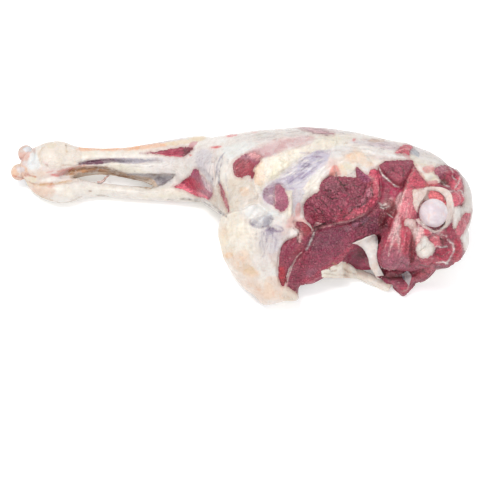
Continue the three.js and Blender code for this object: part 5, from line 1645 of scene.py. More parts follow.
SKIRT = 3.0  # how far a muscle's own surface runs on under its surroundings, in pixels
TURNED_AWAY = -0.2  # how far a piece runs on round the leg, out of view
CAP_DEPTH = 7 * MM
COVER_DEPTH = 1.0 * MM
COVER_RISE = 0.35  # in millimetres, as the next two
COVER_TUCK = 1.8
COVER_EDGE = (-1.5, 0.5)  # in pixels inside the outline, where a cover starts and has fully risen
COVER_TURNS = (-0.14, 0.02)  # the same as the surface turns away from the view
COVER_OVERLAP = 1.0  # in pixels
SKIN_SINKS = 1.2  # in millimetres, under the covers
CUT_MUSCLES = (BIG_MUSCLE, DARK_MUSCLE, SIDE_MUSCLE, FRONT_MUSCLE, HIP_MEAT)


def new_piece(name, places, faces):
    mesh = bpy.data.meshes.new(name)
    mesh.from_pydata(places.tolist(), [], faces.tolist())
    piece = bpy.data.objects.new(name, mesh)
    bpy.context.scene.collection.objects.link(piece)
    return piece


def cut_from_skin(faces, places, normals, name, deep, levels):
    """The connected part of the raw skin that lies inside an outline and faces the view, made finer."""
    facing = facing_eye(places, normals)
    kept = faces[((deep[faces] > -SKIRT) & (facing[faces] > TURNED_AWAY)).all(1)]
    edges = np.vstack([kept[:, [0, 1]], kept[:, [1, 2]], kept[:, [2, 3]], kept[:, [3, 0]]])
    label = linked_labels(edges, len(places))
    names, sizes = np.unique(label[kept[:, 0]], return_counts=True)
    kept = kept[label[kept[:, 0]] == names[sizes.argmax()]]
    used, renumbered = np.unique(kept, return_inverse=True)
    piece = new_piece(name, places[used], renumbered.reshape(-1, 4))
    apply_modifier(piece, "SUBSURF", levels=levels, render_levels=levels)
    return piece


def thicken(piece, depth):
    """Gives a sheet that depth, inwards, and closes it all round."""
    apply_modifier(piece, "SOLIDIFY", thickness=depth, offset=-1.0, use_rim=True)
    pick_only(piece)
    bpy.ops.object.shade_smooth()


def inside_cover(spots, order):
    """Distance in pixels inside that cover's outline, outside the ones before it and every cut muscle."""
    deep = depth_inside(spots, COVERS[order][1])
    for _, outline in COVERS[:order]:
        deep = np.minimum(deep, COVER_OVERLAP - depth_inside(spots, outline))
    for hole in CUT_MUSCLES:
        deep = np.minimum(deep, -depth_inside(spots, hole))
    return deep


def lift_cover(faces, places, normals, order):
    """The fat and membrane over part of the leg, as a finer sheet of its own over the skin."""
    deep = inside_cover(in_photo(places), order)
    piece = cut_from_skin(faces, places, normals, COVERS[order][0], deep, 1)
    places = places_of(piece)
    normals = normals_of(piece)
    deep = inside_cover(in_photo(places), order)
    kept = smooth(deep, *COVER_EDGE) * smooth(facing_eye(places, normals), *COVER_TURNS)
    sculpt(piece, places, normals, (COVER_RISE * kept - COVER_TUCK * (1 - kept)) * MM)
    thicken(piece, COVER_DEPTH)
    return piece


# Unevenness, as size, octaves and channels: of a muscle's edge, of where its granules lie, of how deep they
# are from place to place, and of the whole muscle.
EDGE_LUMPS = (4 * MM, 3, 3)
GRANULE_LUMPS = (5 * MM, 2, (0, 1, 2))
PATCHY_LUMPS = (14 * MM, 2, 1)
WAVE_LUMPS = (9 * MM, 3, 2)
EDGE_WANDER = 1.7  # in pixels, as the next one
EDGE_WIDE = 2.0
GRANULES_WANDER = 0.9 * MM
COARSE_SHARE = 0.65  # of the granules' depth, the rest comes from finer ones
FINER = 0.55
PATCHY_MIDDLE = 0.55
PATCHY_VARIES = 0.45
PATCHY_LEAST = 0.5
PIT_LEVEL = 0.45  # the pit depth at which the surface is neither raised nor sunk
# the pits' darkness is painted shade between the granules
PIT_SHADE_SHARES = (0.4, 0.6)  # how dark pits are everywhere, and how much more in patches
MUSCLE_TUCK = 1.8  # in millimetres, as the next one
MUSCLE_WAVES = 0.6


def lift_muscle(faces, places, normals, name, outline, rise, edge, grain, size, levels=2):
    """A cut muscle of its own: the skin inside the outline, made finer, domed at its edge and pebbled."""
    piece = cut_from_skin(faces, places, normals, name, depth_inside(in_photo(places), outline), levels)
    places = places_of(piece)
    normals = normals_of(piece)
    deep = depth_inside(in_photo(places), outline) + rough_lumps(places, *EDGE_LUMPS) * EDGE_WANDER
    inner = np.clip(deep / edge, 0, 1)
    bed = smooth(deep, 0, EDGE_WIDE)
    warped = places + GRANULES_WANDER * wander(places, *GRANULE_LUMPS)
    coarse = pebbles(warped, size * MM)
    pit = COARSE_SHARE * coarse + (1 - COARSE_SHARE) * pebbles(warped, size * FINER * MM)
    patchy = PATCHY_MIDDLE + PATCHY_VARIES * rough_lumps(places, *PATCHY_LUMPS)
    lift = rise * np.sqrt(1 - (1 - inner) ** 2) - MUSCLE_TUCK * smooth(-deep, 0, EDGE_WIDE)
    lift += grain * (PIT_LEVEL - pit) * bed * (PATCHY_LEAST + patchy)
    lift += MUSCLE_WAVES * rough_lumps(places, *WAVE_LUMPS) * bed
    sculpt(piece, places, normals, lift * MM)
    # the pits are stored darker: painted shade between the granules
    keep_value(piece, "pit", pit * (PIT_SHADE_SHARES[0] + PIT_SHADE_SHARES[1] * patchy))
    if levels == 1:
        thicken(piece, COVER_DEPTH)
    else:
        close_under(piece, CAP_DEPTH)
    return piece


def close_under(piece, depth):
    """Closes a sheet by drawing its rim down under itself by that depth and filling it."""
    outward = normals_of(piece)
    pick_only(piece)
    count = len(piece.data.vertices)
    bpy.ops.object.mode_set(mode="EDIT")
    bpy.ops.mesh.select_mode(type="EDGE")
    bpy.ops.mesh.select_all(action="DESELECT")
    bpy.ops.mesh.select_non_manifold(extend=False, use_wire=False, use_boundary=True, use_multi_face=False,
                                     use_non_contiguous=False, use_verts=False)
    bpy.ops.mesh.extrude_edges_move()
    bpy.ops.object.mode_set(mode="OBJECT")
    places = places_of(piece)
    edges = edges_of(piece)
    across = edges[(edges.min(1) < count) & (edges.max(1) >= count)]
    places[across.max(1)] -= outward[across.min(1)] * depth
    places[:, 2] = np.maximum(places[:, 2], 0)
    move_to(piece, places)
    bpy.ops.object.mode_set(mode="EDIT")
    bpy.ops.mesh.select_mode(type="VERT")
    bpy.ops.mesh.select_all(action="SELECT")
    bpy.ops.mesh.fill_holes(sides=0)
    bpy.ops.mesh.select_all(action="SELECT")
    bpy.ops.mesh.quads_convert_to_tris(quad_method="BEAUTY", ngon_method="BEAUTY")
    bpy.ops.mesh.normals_make_consistent(inside=False)
    bpy.ops.object.mode_set(mode="OBJECT")
    if (normals_of(piece)[:count] * outward).sum() < 0:
        bpy.ops.object.mode_set(mode="EDIT")
        bpy.ops.mesh.flip_normals()
        bpy.ops.object.mode_set(mode="OBJECT")
    pick_only(piece)
    bpy.ops.object.shade_smooth()


# ---- strips and sheets laid on the surface ---------------------------------------------------------------


GRAZING = 0.05  # how far a face has to be turned to the view to count as ground
NEIGHBOURHOOD = 1.5  # in pixels, as the next one
LEEWAY = 0.2


class Ground:
    """The surface that shows in the photograph, as a depth for each of its pixels."""

    def __init__(self, places, normals):
        front = facing_eye(places, normals) > GRAZING
        self.spots = in_photo(places[front])
        self.depth = (places[front] - EYE) @ FORWARD

    def depth_at(self, x, y):
        gap = np.hypot(self.spots[:, 0] - x, self.spots[:, 1] - y)
        return self.depth[gap < max(NEIGHBOURHOOD, gap.min() + LEEWAY)].min()


def at_depth(spots, depth):
    """The points at those depths from the viewpoint that show at those pixels."""
    off = spots - PHOTO_SIDE / 2
    ray = FORWARD * FOCUS + off[..., :1] * ALONG - off[..., 1:] * UPWARD
    return EYE + ray * (depth / FOCUS)[..., None]


BAND_COLUMNS = 7
BAND_DEPTH = 2.5 * MM
BLUNT_ENDS = 0.3  # the power that makes a band's ends rise steeply
BLUNT_SIDES = 0.6
# Unevenness of pieces: size, octaves, channel, share.
BAND_LUMPS = ((6 * MM, 3, 1, 0.5), (2.5 * MM, 2, 2, 0.25))
BONE_LUMPS = ((9 * MM, 3, 1, 1.0), (4 * MM, 2, 2, 0.4))


def unevenness(places, layers):
    """Several sizes of rough lumps at once."""
    return sum(
        share * rough_lumps(places, size, octaves, channel) for size, octaves, channel, share in layers
    )


def evened_out(depth):
    """Each depth averaged with its neighbours, first along the band and then across it."""
    padded = np.pad(depth, ((1, 1), (1, 1)), mode="edge")
    along = (padded[:-2, 1:-1] + 2 * padded[1:-1, 1:-1] + padded[2:, 1:-1]) / 4
    padded = np.pad(along, ((0, 0), (1, 1)), mode="edge")
    return (padded[:, :-2] + 2 * padded[:, 1:-1] + padded[:, 2:]) / 4


def lay_band(ground, name, left, right, crown, sink=0.8, evened=4):
    """A closed band laid on the surface between two lines, its middle raised and its rim sunk."""
    left = curve_through(left)
    right = curve_through(right)
    share = np.linspace(0, 1, BAND_COLUMNS)[None, :, None]
    spots = left[:, None] * (1 - share) + right[:, None] * share
    depth = np.array([[ground.depth_at(x, y) for x, y in row] for row in spots])
    for _ in range(evened):
        depth = evened_out(depth)
    rows, columns = depth.shape
    ends = np.sin(np.linspace(0, math.pi, rows)) ** BLUNT_ENDS
    across = np.sin(np.linspace(0, math.pi, columns)) ** BLUNT_SIDES
    raised_by = crown * across[None, :] * ends[:, None] - sink
    places = at_depth(spots, depth - raised_by * MM).reshape(-1, 3)
    corner = np.arange(rows * columns).reshape(rows, columns)
    faces = np.stack([corner[:-1, :-1], corner[:-1, 1:], corner[1:, 1:], corner[1:, :-1]], -1).reshape(-1, 4)
    a, b, d = places[faces[:, 0]], places[faces[:, 1]], places[faces[:, 3]]
    if (np.cross(b - a, d - a) * (EYE - a)).sum() < 0:
        faces = faces[:, ::-1]
    piece = new_piece(name, places, faces)
    apply_modifier(piece, "SUBSURF", levels=2, render_levels=2)
    places = places_of(piece)
    lift = unevenness(places, BAND_LUMPS)
    move_to(piece, places + normals_of(piece) * (lift * MM)[:, None])
    thicken(piece, BAND_DEPTH)
    return piece


def lay_cord(ground, name, line, width, crown, sink=0.8):
    """A narrow band along one line. The width is in pixels, one number for each point of the line."""
    line = np.array(line, float)
    run = np.gradient(line, axis=0)
    side = np.stack([-run[:, 1], run[:, 0]], 1) / np.linalg.norm(run, axis=1)[:, None]
    half = side * np.array(width, float)[:, None] / 2
    return lay_band(ground, name, line - half, line + half, crown, sink, evened=2)


# ---- materials --------------------------------------------------------------------------------------------


class Wire:
    """One value or colour in a material. Arithmetic on it adds Math nodes, and node() adds any other kind."""

    def __init__(self, tree, socket=None):
        self.tree = tree
        self.socket = socket

    def node(self, kind, settings=None, inputs=None, output=0):
        made = self.tree.nodes.new(kind)
        for name, value in (settings or {}).items():
            setattr(made, name, value)
        for name, value in (inputs or {}).items():
            if isinstance(value, Wire):
                self.tree.links.new(value.socket, made.inputs[name])
            else:
                made.inputs[name].default_value = value
        return Wire(self.tree, made.outputs[output])

    def maths(self, operation, first, second=0.0):
        return self.node("ShaderNodeMath", {"operation": operation}, {0: first, 1: second})

    def __add__(self, other):
        return self.maths("ADD", self, other)

    def __sub__(self, other):
        return self.maths("SUBTRACT", self, other)

    def __rsub__(self, other):
        return self.maths("SUBTRACT", other, self)

    def __mul__(self, other):
        return self.maths("MULTIPLY", self, other)

    def __pow__(self, other):
        return self.maths("POWER", self, other)

    __radd__ = __add__
    __rmul__ = __mul__


def stored(start, name, output="Fac"):
    return start.node("ShaderNodeAttribute", {"attribute_name": name}, output=output)


def fade(value, low, high, at_low=0.0, at_high=1.0):
    """Goes evenly from at_low to at_high as the value goes from low to high."""
    return value.node("ShaderNodeMapRange", {"interpolation_type": "SMOOTHSTEP"},
                      {0: value, 1: low, 2: high, 3: at_low, 4: at_high})


def mixed(factor, under, over, how="MIX"):
    """One colour over another, as far as the factor says."""
    return factor.node("ShaderNodeMix", {"data_type": "RGBA", "blend_type": how},
                       {0: factor, 6: under, 7: over}, 2)


def tone(colour):
    return (float(colour[0]), float(colour[1]), float(colour[2]), 1.0)


def noise(place, size, detail=3.0, roughness=0.55, distortion=0.0):
    """Uneven values about 0.5, with lumps of that size in millimetres."""
    return place.node("ShaderNodeTexNoise", None,
                      {"Vector": place, "Scale": 1 / (size * MM), "Detail": detail, "Roughness": roughness,
                       "Distortion": distortion})


def cells(place, size, feature="F1", output="Distance"):
    return place.node("ShaderNodeTexVoronoi", {"feature": feature},
                      {"Vector": place, "Scale": 1 / (size * MM)}, output)


def drawn_out(place, degrees, length):
    """Coordinates in which a pattern is drawn out along a direction, as fibres are."""
    return place.node("ShaderNodeMapping", {"vector_type": "TEXTURE"},
                      {"Vector": place, "Rotation": (0, 0, math.radians(degrees)), "Scale": (length, 1, 1)})


def new_material(name):
    material = bpy.data.materials.new(name)
    material.use_nodes = True
    shader = material.node_tree.nodes["Principled BSDF"]
    return material, shader, Wire(material.node_tree)


def plug(shader, **wires):
    """Links wires to the shader's sockets, whose names are given with _ for a space."""
    for name, wire in wires.items():
        wire.tree.links.new(wire.socket, shader.inputs[name.replace("_", " ")])


SOFT_REACH = (1.0, 0.45, 0.3)  # how far red, green and blue light spread under the surface, as shares
SOFT_DEPTH = 2.4 * MM
FILM_ROUGHNESS = 0.2
WETNESS = 0.35


def wet(shader, gloss, softness):
    """The constants of a moist, slightly translucent surface."""
    shader.inputs["Subsurface Weight"].default_value = softness
    shader.inputs["Subsurface Radius"].default_value = SOFT_REACH
    shader.inputs["Subsurface Scale"].default_value = SOFT_DEPTH
    shader.inputs["Coat Weight"].default_value = gloss
    shader.inputs["Coat Roughness"].default_value = FILM_ROUGHNESS
    shader.inputs["Specular IOR Level"].default_value = WETNESS


def raised(height, strength, distance):
    return height.node("ShaderNodeBump", None,
                       {"Height": height, "Strength": strength, "Distance": distance * MM})


def leg_place(start):
    """Object coordinates turned so that their plane faces the photograph's viewpoint."""
    place = start.node("ShaderNodeTexCoord", output="Object")
    return place.node("ShaderNodeMapping", {"vector_type": "TEXTURE"},
                      {"Vector": place, "Rotation": (math.pi / 2 - LOOK_DOWN, 0, 0)})


# Ways that fibres run: degrees from along the leg, and how many times longer than wide.
FIBRES_LEVEL = (2, 14)
FIBRES_RISING = (34, 12)
FIBRES_UPRIGHT = (84, 10)
FIBRE_LOOK = (5, 0.66, 0.35)  # detail, roughness, distortion


def fibre_streaks(place, rising, upright, size):
    """Streaks that run along the leg, up across it or upright, as the leg's own fibres do at each place."""
    level = noise(drawn_out(place, *FIBRES_LEVEL), size, *FIBRE_LOOK)
    slant = noise(drawn_out(place, *FIBRES_RISING), size, *FIBRE_LOOK)
    plumb = noise(drawn_out(place, *FIBRES_UPRIGHT), size, *FIBRE_LOOK)
    level_or_slant = level + (slant - level) * rising
    return level_or_slant + (plumb - level_or_slant) * upright


def ridge_of(value, middle, width):
    """1 where the value is at the middle, 0 beyond the width to either side."""
    return fade(value.maths("ABSOLUTE", value - middle), 0.0, width, 1.0, 0.0)


# Noises: size in millimetres, detail, roughness and, for some, distortion. Most of a noise lies between 0.3
# and 0.7.
UPPER_FILM = (19, 5, 0.6, 0.6)
LOWER_FILM = (11, 5, 0.62, 0.9)
FAT_BLOTCH = (8, 5, 0.65)
VEIN = (15, 3, 0.5, 0.8)
FINE_MEAT = (1.6, 4, 0.7)
BROAD_MEAT = (7, 4, 0.65)
# pale flecks in the meat: partly marbling, partly a painted wet sparkle
FLECK_AND_SPARKLE = (2.6, 4, 0.72, 0.6)
CLOT = (4.2, 4, 0.65)
VEIL_BREAKS = (6, 4, 0.65)
RAGGED_EDGE = (3.6, 5, 0.7)
SKIN_GLOSS = (5, 4, 0.65)
SKIN_FINE = (1.8, 4, 0.65)
SKIN_BUMPS = (5.5, 3, 0.5)
MEAT_GLOSS = (4, 3, 0.6)
MEAT_FINE = (1.2, 4, 0.65)
CARTILAGE_CLOUD = (8, 4, 0.6)
CARTILAGE_BLUSH = (6, 4, 0.6)
CARTILAGE_GLOSS = (3, 3, 0.6)
CARTILAGE_FINE = (3, 4, 0.6)
# Fades of those noises: from and to, and for some the share at each end.
UPPER_FILM_FADE = (0.5, 0.52)
LOWER_FILM_FADE = (0.53, 0.55)
BLOTCH_FADE = (0.38, 0.66, 0.28, 0.0)
DARK_FIBRES = (0.5, 0.36)
LIGHT_FIBRES = (0.55, 0.65, 0.0, 0.6)
GRAIN_FADE = (0.35, 0.75, 0.0, 0.16)
# painted shade: darker in the pits between the granules, lighter on their crowns
GRANULE_SHADE_LEVEL = (0.1, 0.85, 1.24, 0.5)
FIBRE_LEVEL = (0.32, 0.68, 0.62, 1.3)
FINE_LEVEL = (0.3, 0.72, 0.74, 1.26)
BROAD_LEVEL = (0.3, 0.7, 0.8, 1.18)
# the fade of the flecks, which are partly a painted wet sparkle
FLECK_AND_SPARKLE_FADE = (0.6, 0.68, 0.0, 0.5)
CLOT_FADE = (0.38, 0.3, 0.0, 0.55)
VEIL_FADE = (0.36, 0.66, 0.15, 1.0)
BARE_FADE = (-0.3, 0.4)  # in pixels inside bare meat, as the next one
FRINGE_FADE = (-3.6, 0.0, 0.0, 0.5)
SKIN_ROUGHNESS = (0.3, 0.7, 0.3, 0.56)
MEAT_ROUGHNESS = (0.3, 0.7, 0.3, 0.55)
CARTILAGE_ROUGHNESS = (0.3, 0.7, 0.28, 0.46)
GRAIN_HEIGHT_FADE = (0.0, 0.7, 1.0, 0.0)
CLOUD_FADE = (0.35, 0.65)
BLUSH_FADE = (0.52, 0.7, 0.0, 0.7)
# Where a torn film ends on its noise and how wide the edge is, and the same for veins.
UPPER_FILM_EDGE = (0.51, 0.012)
LOWER_FILM_EDGE = (0.54, 0.01)
VEIN_EDGE = (0.5, 0.008)
FAT_GRAIN = 4.5  # size of fat's cells in millimetres
# Tones of the layers.
BLOTCH_TONE = shade(240, 226, 212)
DARK_FIBRE_TONE = shade(186, 178, 194)
FILM_TONE = shade(236, 232, 232)
FILM_EDGE_TONE = shade(250, 246, 240)
GRAIN_TONE = shade(248, 226, 190)
VEIN_TONE = shade(226, 176, 170)
CARTILAGE_TONE = shade(240, 230, 232)
CLOUD_TONE = shade(222, 208, 214)
# Strengths of the layers.
UPPER_FILM_SHARE = 0.6
LOWER_FILM_SHARE = 0.4
LOWER_EDGE_SHARE = 0.7
DARK_FIBRE_SHARE = 0.85
FILM_SHARE = 0.3
FILM_EDGE_SHARE = 0.35
VEIN_SHARE = 0.25
VEIL_BREAKS_SHARE = 0.6
RAGGED_BY = 5.0  # in pixels
# Heights of the layers, relative to the distance that the bump is given in millimetres.
LEAST_FIBRE_HEIGHT = 0.25
SILVER_FIBRE_HEIGHT = 0.75
FINE_HEIGHT = 0.3
BUMP_HEIGHT = 0.55
GRAIN_HEIGHT = 0.25
FILM_HEIGHT = 0.35
FILM_EDGE_HEIGHT = 0.12
BARE_DEPTH = 0.4
MEAT_FINE_HEIGHT = 0.9
MEAT_FIBRE_HEIGHT = 0.7
# Bump strength and distance in millimetres, then the gloss and softness of the wet surface.
SKIN_BUMP = (0.75, 1.3)
MEAT_BUMP = (0.6, 1.0)
CARTILAGE_BUMP = (0.4, 0.8)
SKIN_WET = (0.22, 0.1)
MEAT_WET = (0.18, 0.06)
CARTILAGE_WET = (0.2, 0.12)
SKIN_FIBRE = 1.7  # how thick fibres are, in millimetres
MEAT_FIBRE = 1.6


def films(place):
    """Two torn layers of thin membrane: how much of them covers each place, and their edges."""
    upper = noise(place, *UPPER_FILM)
    lower = noise(place, *LOWER_FILM)
    cover = fade(upper, *UPPER_FILM_FADE) * UPPER_FILM_SHARE
    cover = cover + fade(lower, *LOWER_FILM_FADE) * LOWER_FILM_SHARE
    edges = ridge_of(upper, *UPPER_FILM_EDGE) + ridge_of(lower, *LOWER_FILM_EDGE) * LOWER_EDGE_SHARE
    return cover, edges


def coat_colour(place, streaks, cover, edges):
    """Fat and membrane: soft blotches, torn films, fibres of silver skin and a few fine veins."""
    colour = stored(place, "coat_tone", "Color")
    silver = stored(place, "silver")
    fat = stored(place, "fat")
    blotch = noise(place, *FAT_BLOTCH)
    colour = mixed(fade(blotch, *BLOTCH_FADE), colour, tone(BLOTCH_TONE), "MULTIPLY")
    dark_fibres = fade(streaks, *DARK_FIBRES) * silver * DARK_FIBRE_SHARE
    colour = mixed(dark_fibres, colour, tone(DARK_FIBRE_TONE), "MULTIPLY")
    colour = mixed(fade(streaks, *LIGHT_FIBRES) * silver, colour, tone(MILK))
    colour = mixed(cover * FILM_SHARE, colour, tone(FILM_TONE))
    colour = mixed(edges * FILM_EDGE_SHARE, colour, tone(FILM_EDGE_TONE))
    grains = cells(place, FAT_GRAIN)
    colour = mixed(fade(grains, *GRAIN_FADE) * fat, colour, tone(GRAIN_TONE), "MULTIPLY")
    vein = noise(place, *VEIN)
    return mixed(ridge_of(vein, *VEIN_EDGE) * (1 - silver) * VEIN_SHARE, colour, tone(VEIN_TONE), "MULTIPLY")


def lean_colour(place, streaks, veil):
    """Meat: granules with painted shade between them where it is cut across, streaks where it isn't, and
    membrane over parts of it.
    """
    colour = stored(place, "lean_tone", "Color")
    cross = stored(place, "cross_cut")
    pit = stored(place, "pit")
    fine = noise(place, *FINE_MEAT)
    broad = noise(place, *BROAD_MEAT)
    # painted shade: darker in the pits between the granules, lighter on their crowns
    granule_shade = fade(pit, *GRANULE_SHADE_LEVEL)
    fibre = fade(streaks, *FIBRE_LEVEL)
    level = fibre + (granule_shade - fibre) * cross
    level = level * fade(fine, *FINE_LEVEL) * fade(broad, *BROAD_LEVEL)
    shaded = mixed(place.maths("ADD", 1.0), colour, level, "MULTIPLY")
    # pale flecks: partly marbling, partly a painted wet sparkle
    fleck_and_sparkle = noise(place, *FLECK_AND_SPARKLE)
    shaded = mixed(fade(fleck_and_sparkle, *FLECK_AND_SPARKLE_FADE), shaded, tone(ROSE))
    clot = noise(place, *CLOT)
    shaded = mixed(fade(clot, *CLOT_FADE), shaded, tone(BLOOD))
    broken = streaks + (noise(place, *VEIL_BREAKS) - 0.5) * VEIL_BREAKS_SHARE
    return mixed(fade(broken, *VEIL_FADE) * veil, shaded, tone(PINK))


def skin_finish():
    """Fat and membrane with meat showing where they are open."""
    material, shader, start = new_material("leg_skin")
    place = leg_place(start)
    silver = stored(start, "silver")
    streaks = fibre_streaks(place, stored(start, "rising"), stored(start, "upright"), SKIN_FIBRE)
    cover, edges = films(place)
    ragged = (noise(place, *RAGGED_EDGE) - 0.5) * RAGGED_BY
    lean = stored(start, "lean") + ragged
    bare = fade(lean, *BARE_FADE)
    fringe = fade(lean, *FRINGE_FADE)
    coat = mixed(fringe, coat_colour(place, streaks, cover, edges), tone(ROSE), "MULTIPLY")
    meat = lean_colour(place, streaks, stored(start, "veil"))
    plug(shader, Base_Color=mixed(bare, coat, meat))
    gloss = noise(place, *SKIN_GLOSS)
    plug(shader, Roughness=fade(gloss, *SKIN_ROUGHNESS))
    fine = noise(place, *SKIN_FINE)
    bumps = noise(place, *SKIN_BUMPS)
    fat_grains = fade(cells(place, FAT_GRAIN, "SMOOTH_F1"), *GRAIN_HEIGHT_FADE) * stored(start, "fat")
    height = streaks * (LEAST_FIBRE_HEIGHT + SILVER_FIBRE_HEIGHT * silver)
    height = height + fine * FINE_HEIGHT + bumps * BUMP_HEIGHT + fat_grains * GRAIN_HEIGHT
    height = height + cover * FILM_HEIGHT + edges * FILM_EDGE_HEIGHT - bare * BARE_DEPTH
    plug(shader, Normal=raised(height, *SKIN_BUMP))
    wet(shader, *SKIN_WET)
    return material


def meat_finish():
    """Bare meat of the cut muscles."""
    material, shader, start = new_material("cut_meat")
    place = leg_place(start)
    streaks = fibre_streaks(place, stored(start, "rising"), stored(start, "upright"), MEAT_FIBRE)
    plug(shader, Base_Color=lean_colour(place, streaks, stored(start, "veil")))
    gloss = noise(place, *MEAT_GLOSS)
    plug(shader, Roughness=fade(gloss, *MEAT_ROUGHNESS))
    fine = noise(place, *MEAT_FINE)
    along = streaks * (1 - stored(start, "cross_cut")) * MEAT_FIBRE_HEIGHT
    plug(shader, Normal=raised(fine * MEAT_FINE_HEIGHT + along, *MEAT_BUMP))
    wet(shader, *MEAT_WET)
    return material


def bone_finish():
    """Cartilage: smooth, bluish white, pinker in patches."""
    material, shader, start = new_material("joint_cartilage")
    place = leg_place(start)
    cloud = noise(place, *CARTILAGE_CLOUD)
    colour = mixed(fade(cloud, *CLOUD_FADE), tone(CARTILAGE_TONE), tone(CLOUD_TONE))
    blush = noise(place, *CARTILAGE_BLUSH)
    colour = mixed(fade(blush, *BLUSH_FADE), colour, tone(PINK))
    plug(shader, Base_Color=colour)
    plug(shader, Roughness=fade(noise(place, *CARTILAGE_GLOSS), *CARTILAGE_ROUGHNESS))
    plug(shader, Normal=raised(noise(place, *CARTILAGE_FINE), *CARTILAGE_BUMP))
    wet(shader, *CARTILAGE_WET)
    return material


# ---- building the leg -------------------------------------------------------------------------------------


def bone_piece(node, name, rough, swell=0.0):
    """A finer copy of one frame solid, roughened and swollen by so many millimetres."""
    piece = merged_copy(node, name)
    apply_modifier(piece, "SUBSURF", levels=2, render_levels=2)
    places = places_of(piece)
    lift = swell + rough * unevenness(places, BONE_LUMPS)
    move_to(piece, places + normals_of(piece) * (lift * MM)[:, None])
    pick_only(piece)
    bpy.ops.object.shade_smooth()
    return piece


def finished(piece, material):
    """Gives a piece its material and the body that it moves with."""
    piece.data.materials.append(material)
    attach(piece, "root")
    return piece


# Muscles: name, outline, millimetres that they swell up, over how many pixels from the edge, and in
# millimetres how deep the granules are and how big.
MUSCLES = (
    ("dark_muscle", DARK_MUSCLE, 1.6, 5, 1.5, 3.4), ("side_muscle", SIDE_MUSCLE, 1.4, 4, 0.8, 2.8),
    ("front_muscle", FRONT_MUSCLE, 1.8, 5, 1.1, 3.2), ("big_muscle", BIG_MUSCLE, 2.6, 6, 2.3, 4.2),
)
HIP_MUSCLE = ("hip_muscle", HIP_MEAT, 0.6, 3, 1.2, 3.4, 1)  # the last is how many times its faces are divided


# Parts of the leg's fat and membrane, with outlines that run past its edges.
COVERS = (
    ("haunch_cover", [(200, 217), (214, 216), (224, 213), (232, 209), (244, 206), (254, 206), (264, 209),
        (274, 213), (284, 214), (290, 218), (296, 222), (310, 250), (306, 316), (200, 316), (196, 260)]),
    ("hock_cover", [(0, 150), (10, 138), (40, 130), (92, 130), (96, 150), (94, 170), (96, 190), (92, 214),
        (60, 216), (16, 206), (0, 186)]),
    ("shank_cover", [(60, 130), (120, 134), (200, 122), (222, 118), (224, 134), (219, 150), (218, 170),
        (221, 184), (225, 198), (228, 212), (224, 226), (200, 226), (120, 210), (60, 216)]),
    ("croup_cover", [(334, 110), (400, 118), (484, 150), (490, 215), (480, 250), (462, 290), (440, 240),
        (360, 240), (338, 180), (334, 160), (337, 140)]),
    ("thigh_cover", [(200, 116), (300, 108), (360, 112), (372, 170), (360, 240), (300, 240), (210, 230)]),
)


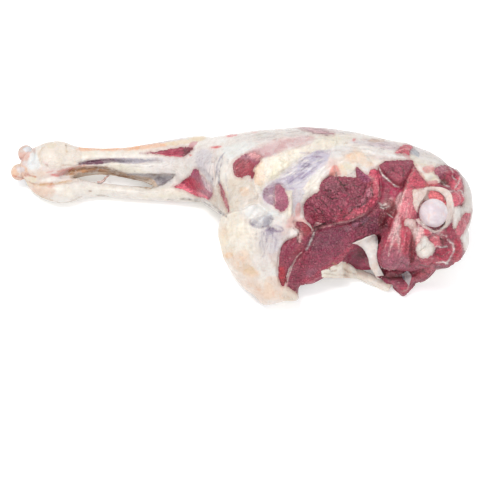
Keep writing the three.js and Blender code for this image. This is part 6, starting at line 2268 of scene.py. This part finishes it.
# Strips and sheets laid on the surface: name, colour, one side, the other side, and in millimetres how far
# the middle rises and the rim sinks, then how often the ground under it is evened out.
BANDS = (
    ("fascia_sheet", MILK, [(352, 243.5), (358, 245), (364, 250), (368, 258), (370, 267), (376, 276.5)],
        [(370, 235.5), (377, 236), (378, 245), (377, 256), (379, 266), (384, 275.5)], 2.6, -0.4, 4),
    ("hip_rim", shade(246, 226, 218), [(424, 190.4), (431, 190.6), (437.5, 191.4), (443, 195), (446, 200),
        (446.6, 207), (446.6, 214), (446, 220), (444.6, 224), (440, 228.2)], [(424, 188.2), (432, 187),
        (439.5, 187), (448, 190), (452.4, 196), (453.8, 204), (453, 213), (450, 220.5), (446.4, 226),
        (441.5, 230)], 0.8, 0.5, 6),
    ("hip_capsule", shade(240, 216, 206), [(427, 190), (426, 195), (423, 199), (420, 203), (418.4, 207),
        (417.6, 211)], [(414, 189.5), (412.6, 194), (413.6, 199), (413, 203), (414.6, 207), (415.6, 211)],
        0.4, 0.7, 6),
    ("hip_silver", shade(146, 144, 160), [(401.5, 274), (403, 278), (406, 282), (409, 286)], [(407, 272),
        (411, 274.5), (411, 279), (409.5, 285)], 0.6, -0.2, 4),
    ("flank_web", CREAM, [(321, 271), (328, 268), (335, 262.5), (341, 259.5), (347, 262), (355, 268)],
        [(322, 277.5), (330, 278), (338, 278), (346, 278), (354, 278.5), (362, 279)], 1.6, 0.4, 4),
)


def lay_all_bands(ground, coat):
    for name, colour, left, right, crown, sink, evened in BANDS:
        band = lay_band(ground, name, left, right, crown, sink, evened)
        paint(band, "coat", colour)
        finished(band, coat)
    strand = lay_cord(ground, "shank_strand", [(109, 175), (105, 178.5), (102, 181.5), (97, 182)],
                      [2, 2, 2, 1.6], 1.2, 0.2)
    paint(strand, "coat", PINK)
    finished(strand, coat)


def main():
    add_camera()
    add_room()
    skin = grow_skin()
    move_to(skin, drawn_over(places_of(skin)))
    places = places_of(skin)
    normals = normals_of(skin)
    quads = quads_of(skin)
    sculpt(skin, places, normals, -SKIN_SINKS * MM * seen_share(places, normals))
    coat = skin_finish()
    bare = meat_finish()
    tops = []
    for settings in MUSCLES:
        muscle = lift_muscle(quads, places, normals, *settings)
        paint(muscle, "meat")
        tops.append(finished(muscle, bare))
    for order in range(len(COVERS)):
        cover = lift_cover(quads, places, normals, order)
        paint(cover)
        tops.append(finished(cover, coat))
    hip = lift_muscle(quads, places, normals, *HIP_MUSCLE)
    paint(hip)
    tops.append(finished(hip, coat))
    paint(skin, "under")
    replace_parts(finished(skin, coat), "leg_flesh")
    tops.append(skin)
    thigh_bone = bone_piece("thigh_bone", "thigh_bone_end", 0.3)
    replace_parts(finished(thigh_bone, bone_finish()), "thigh_bone")
    tops.append(thigh_bone)
    ground = Ground(np.vstack([places_of(top) for top in tops]), np.vstack([normals_of(top) for top in tops]))
    lay_all_bands(ground, coat)
    shin_bone = bone_piece("shin_bone", "shin_bone_end", 0.6, 0.6)
    paint(shin_bone, "coat")
    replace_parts(finished(shin_bone, coat), "shin_bone")
    strip = bone_piece("flank_strip", "flank_fat", 0.8)
    paint(strip, "coat", shade(252, 242, 228))
    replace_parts(finished(strip, coat), "flank_strip")


main()
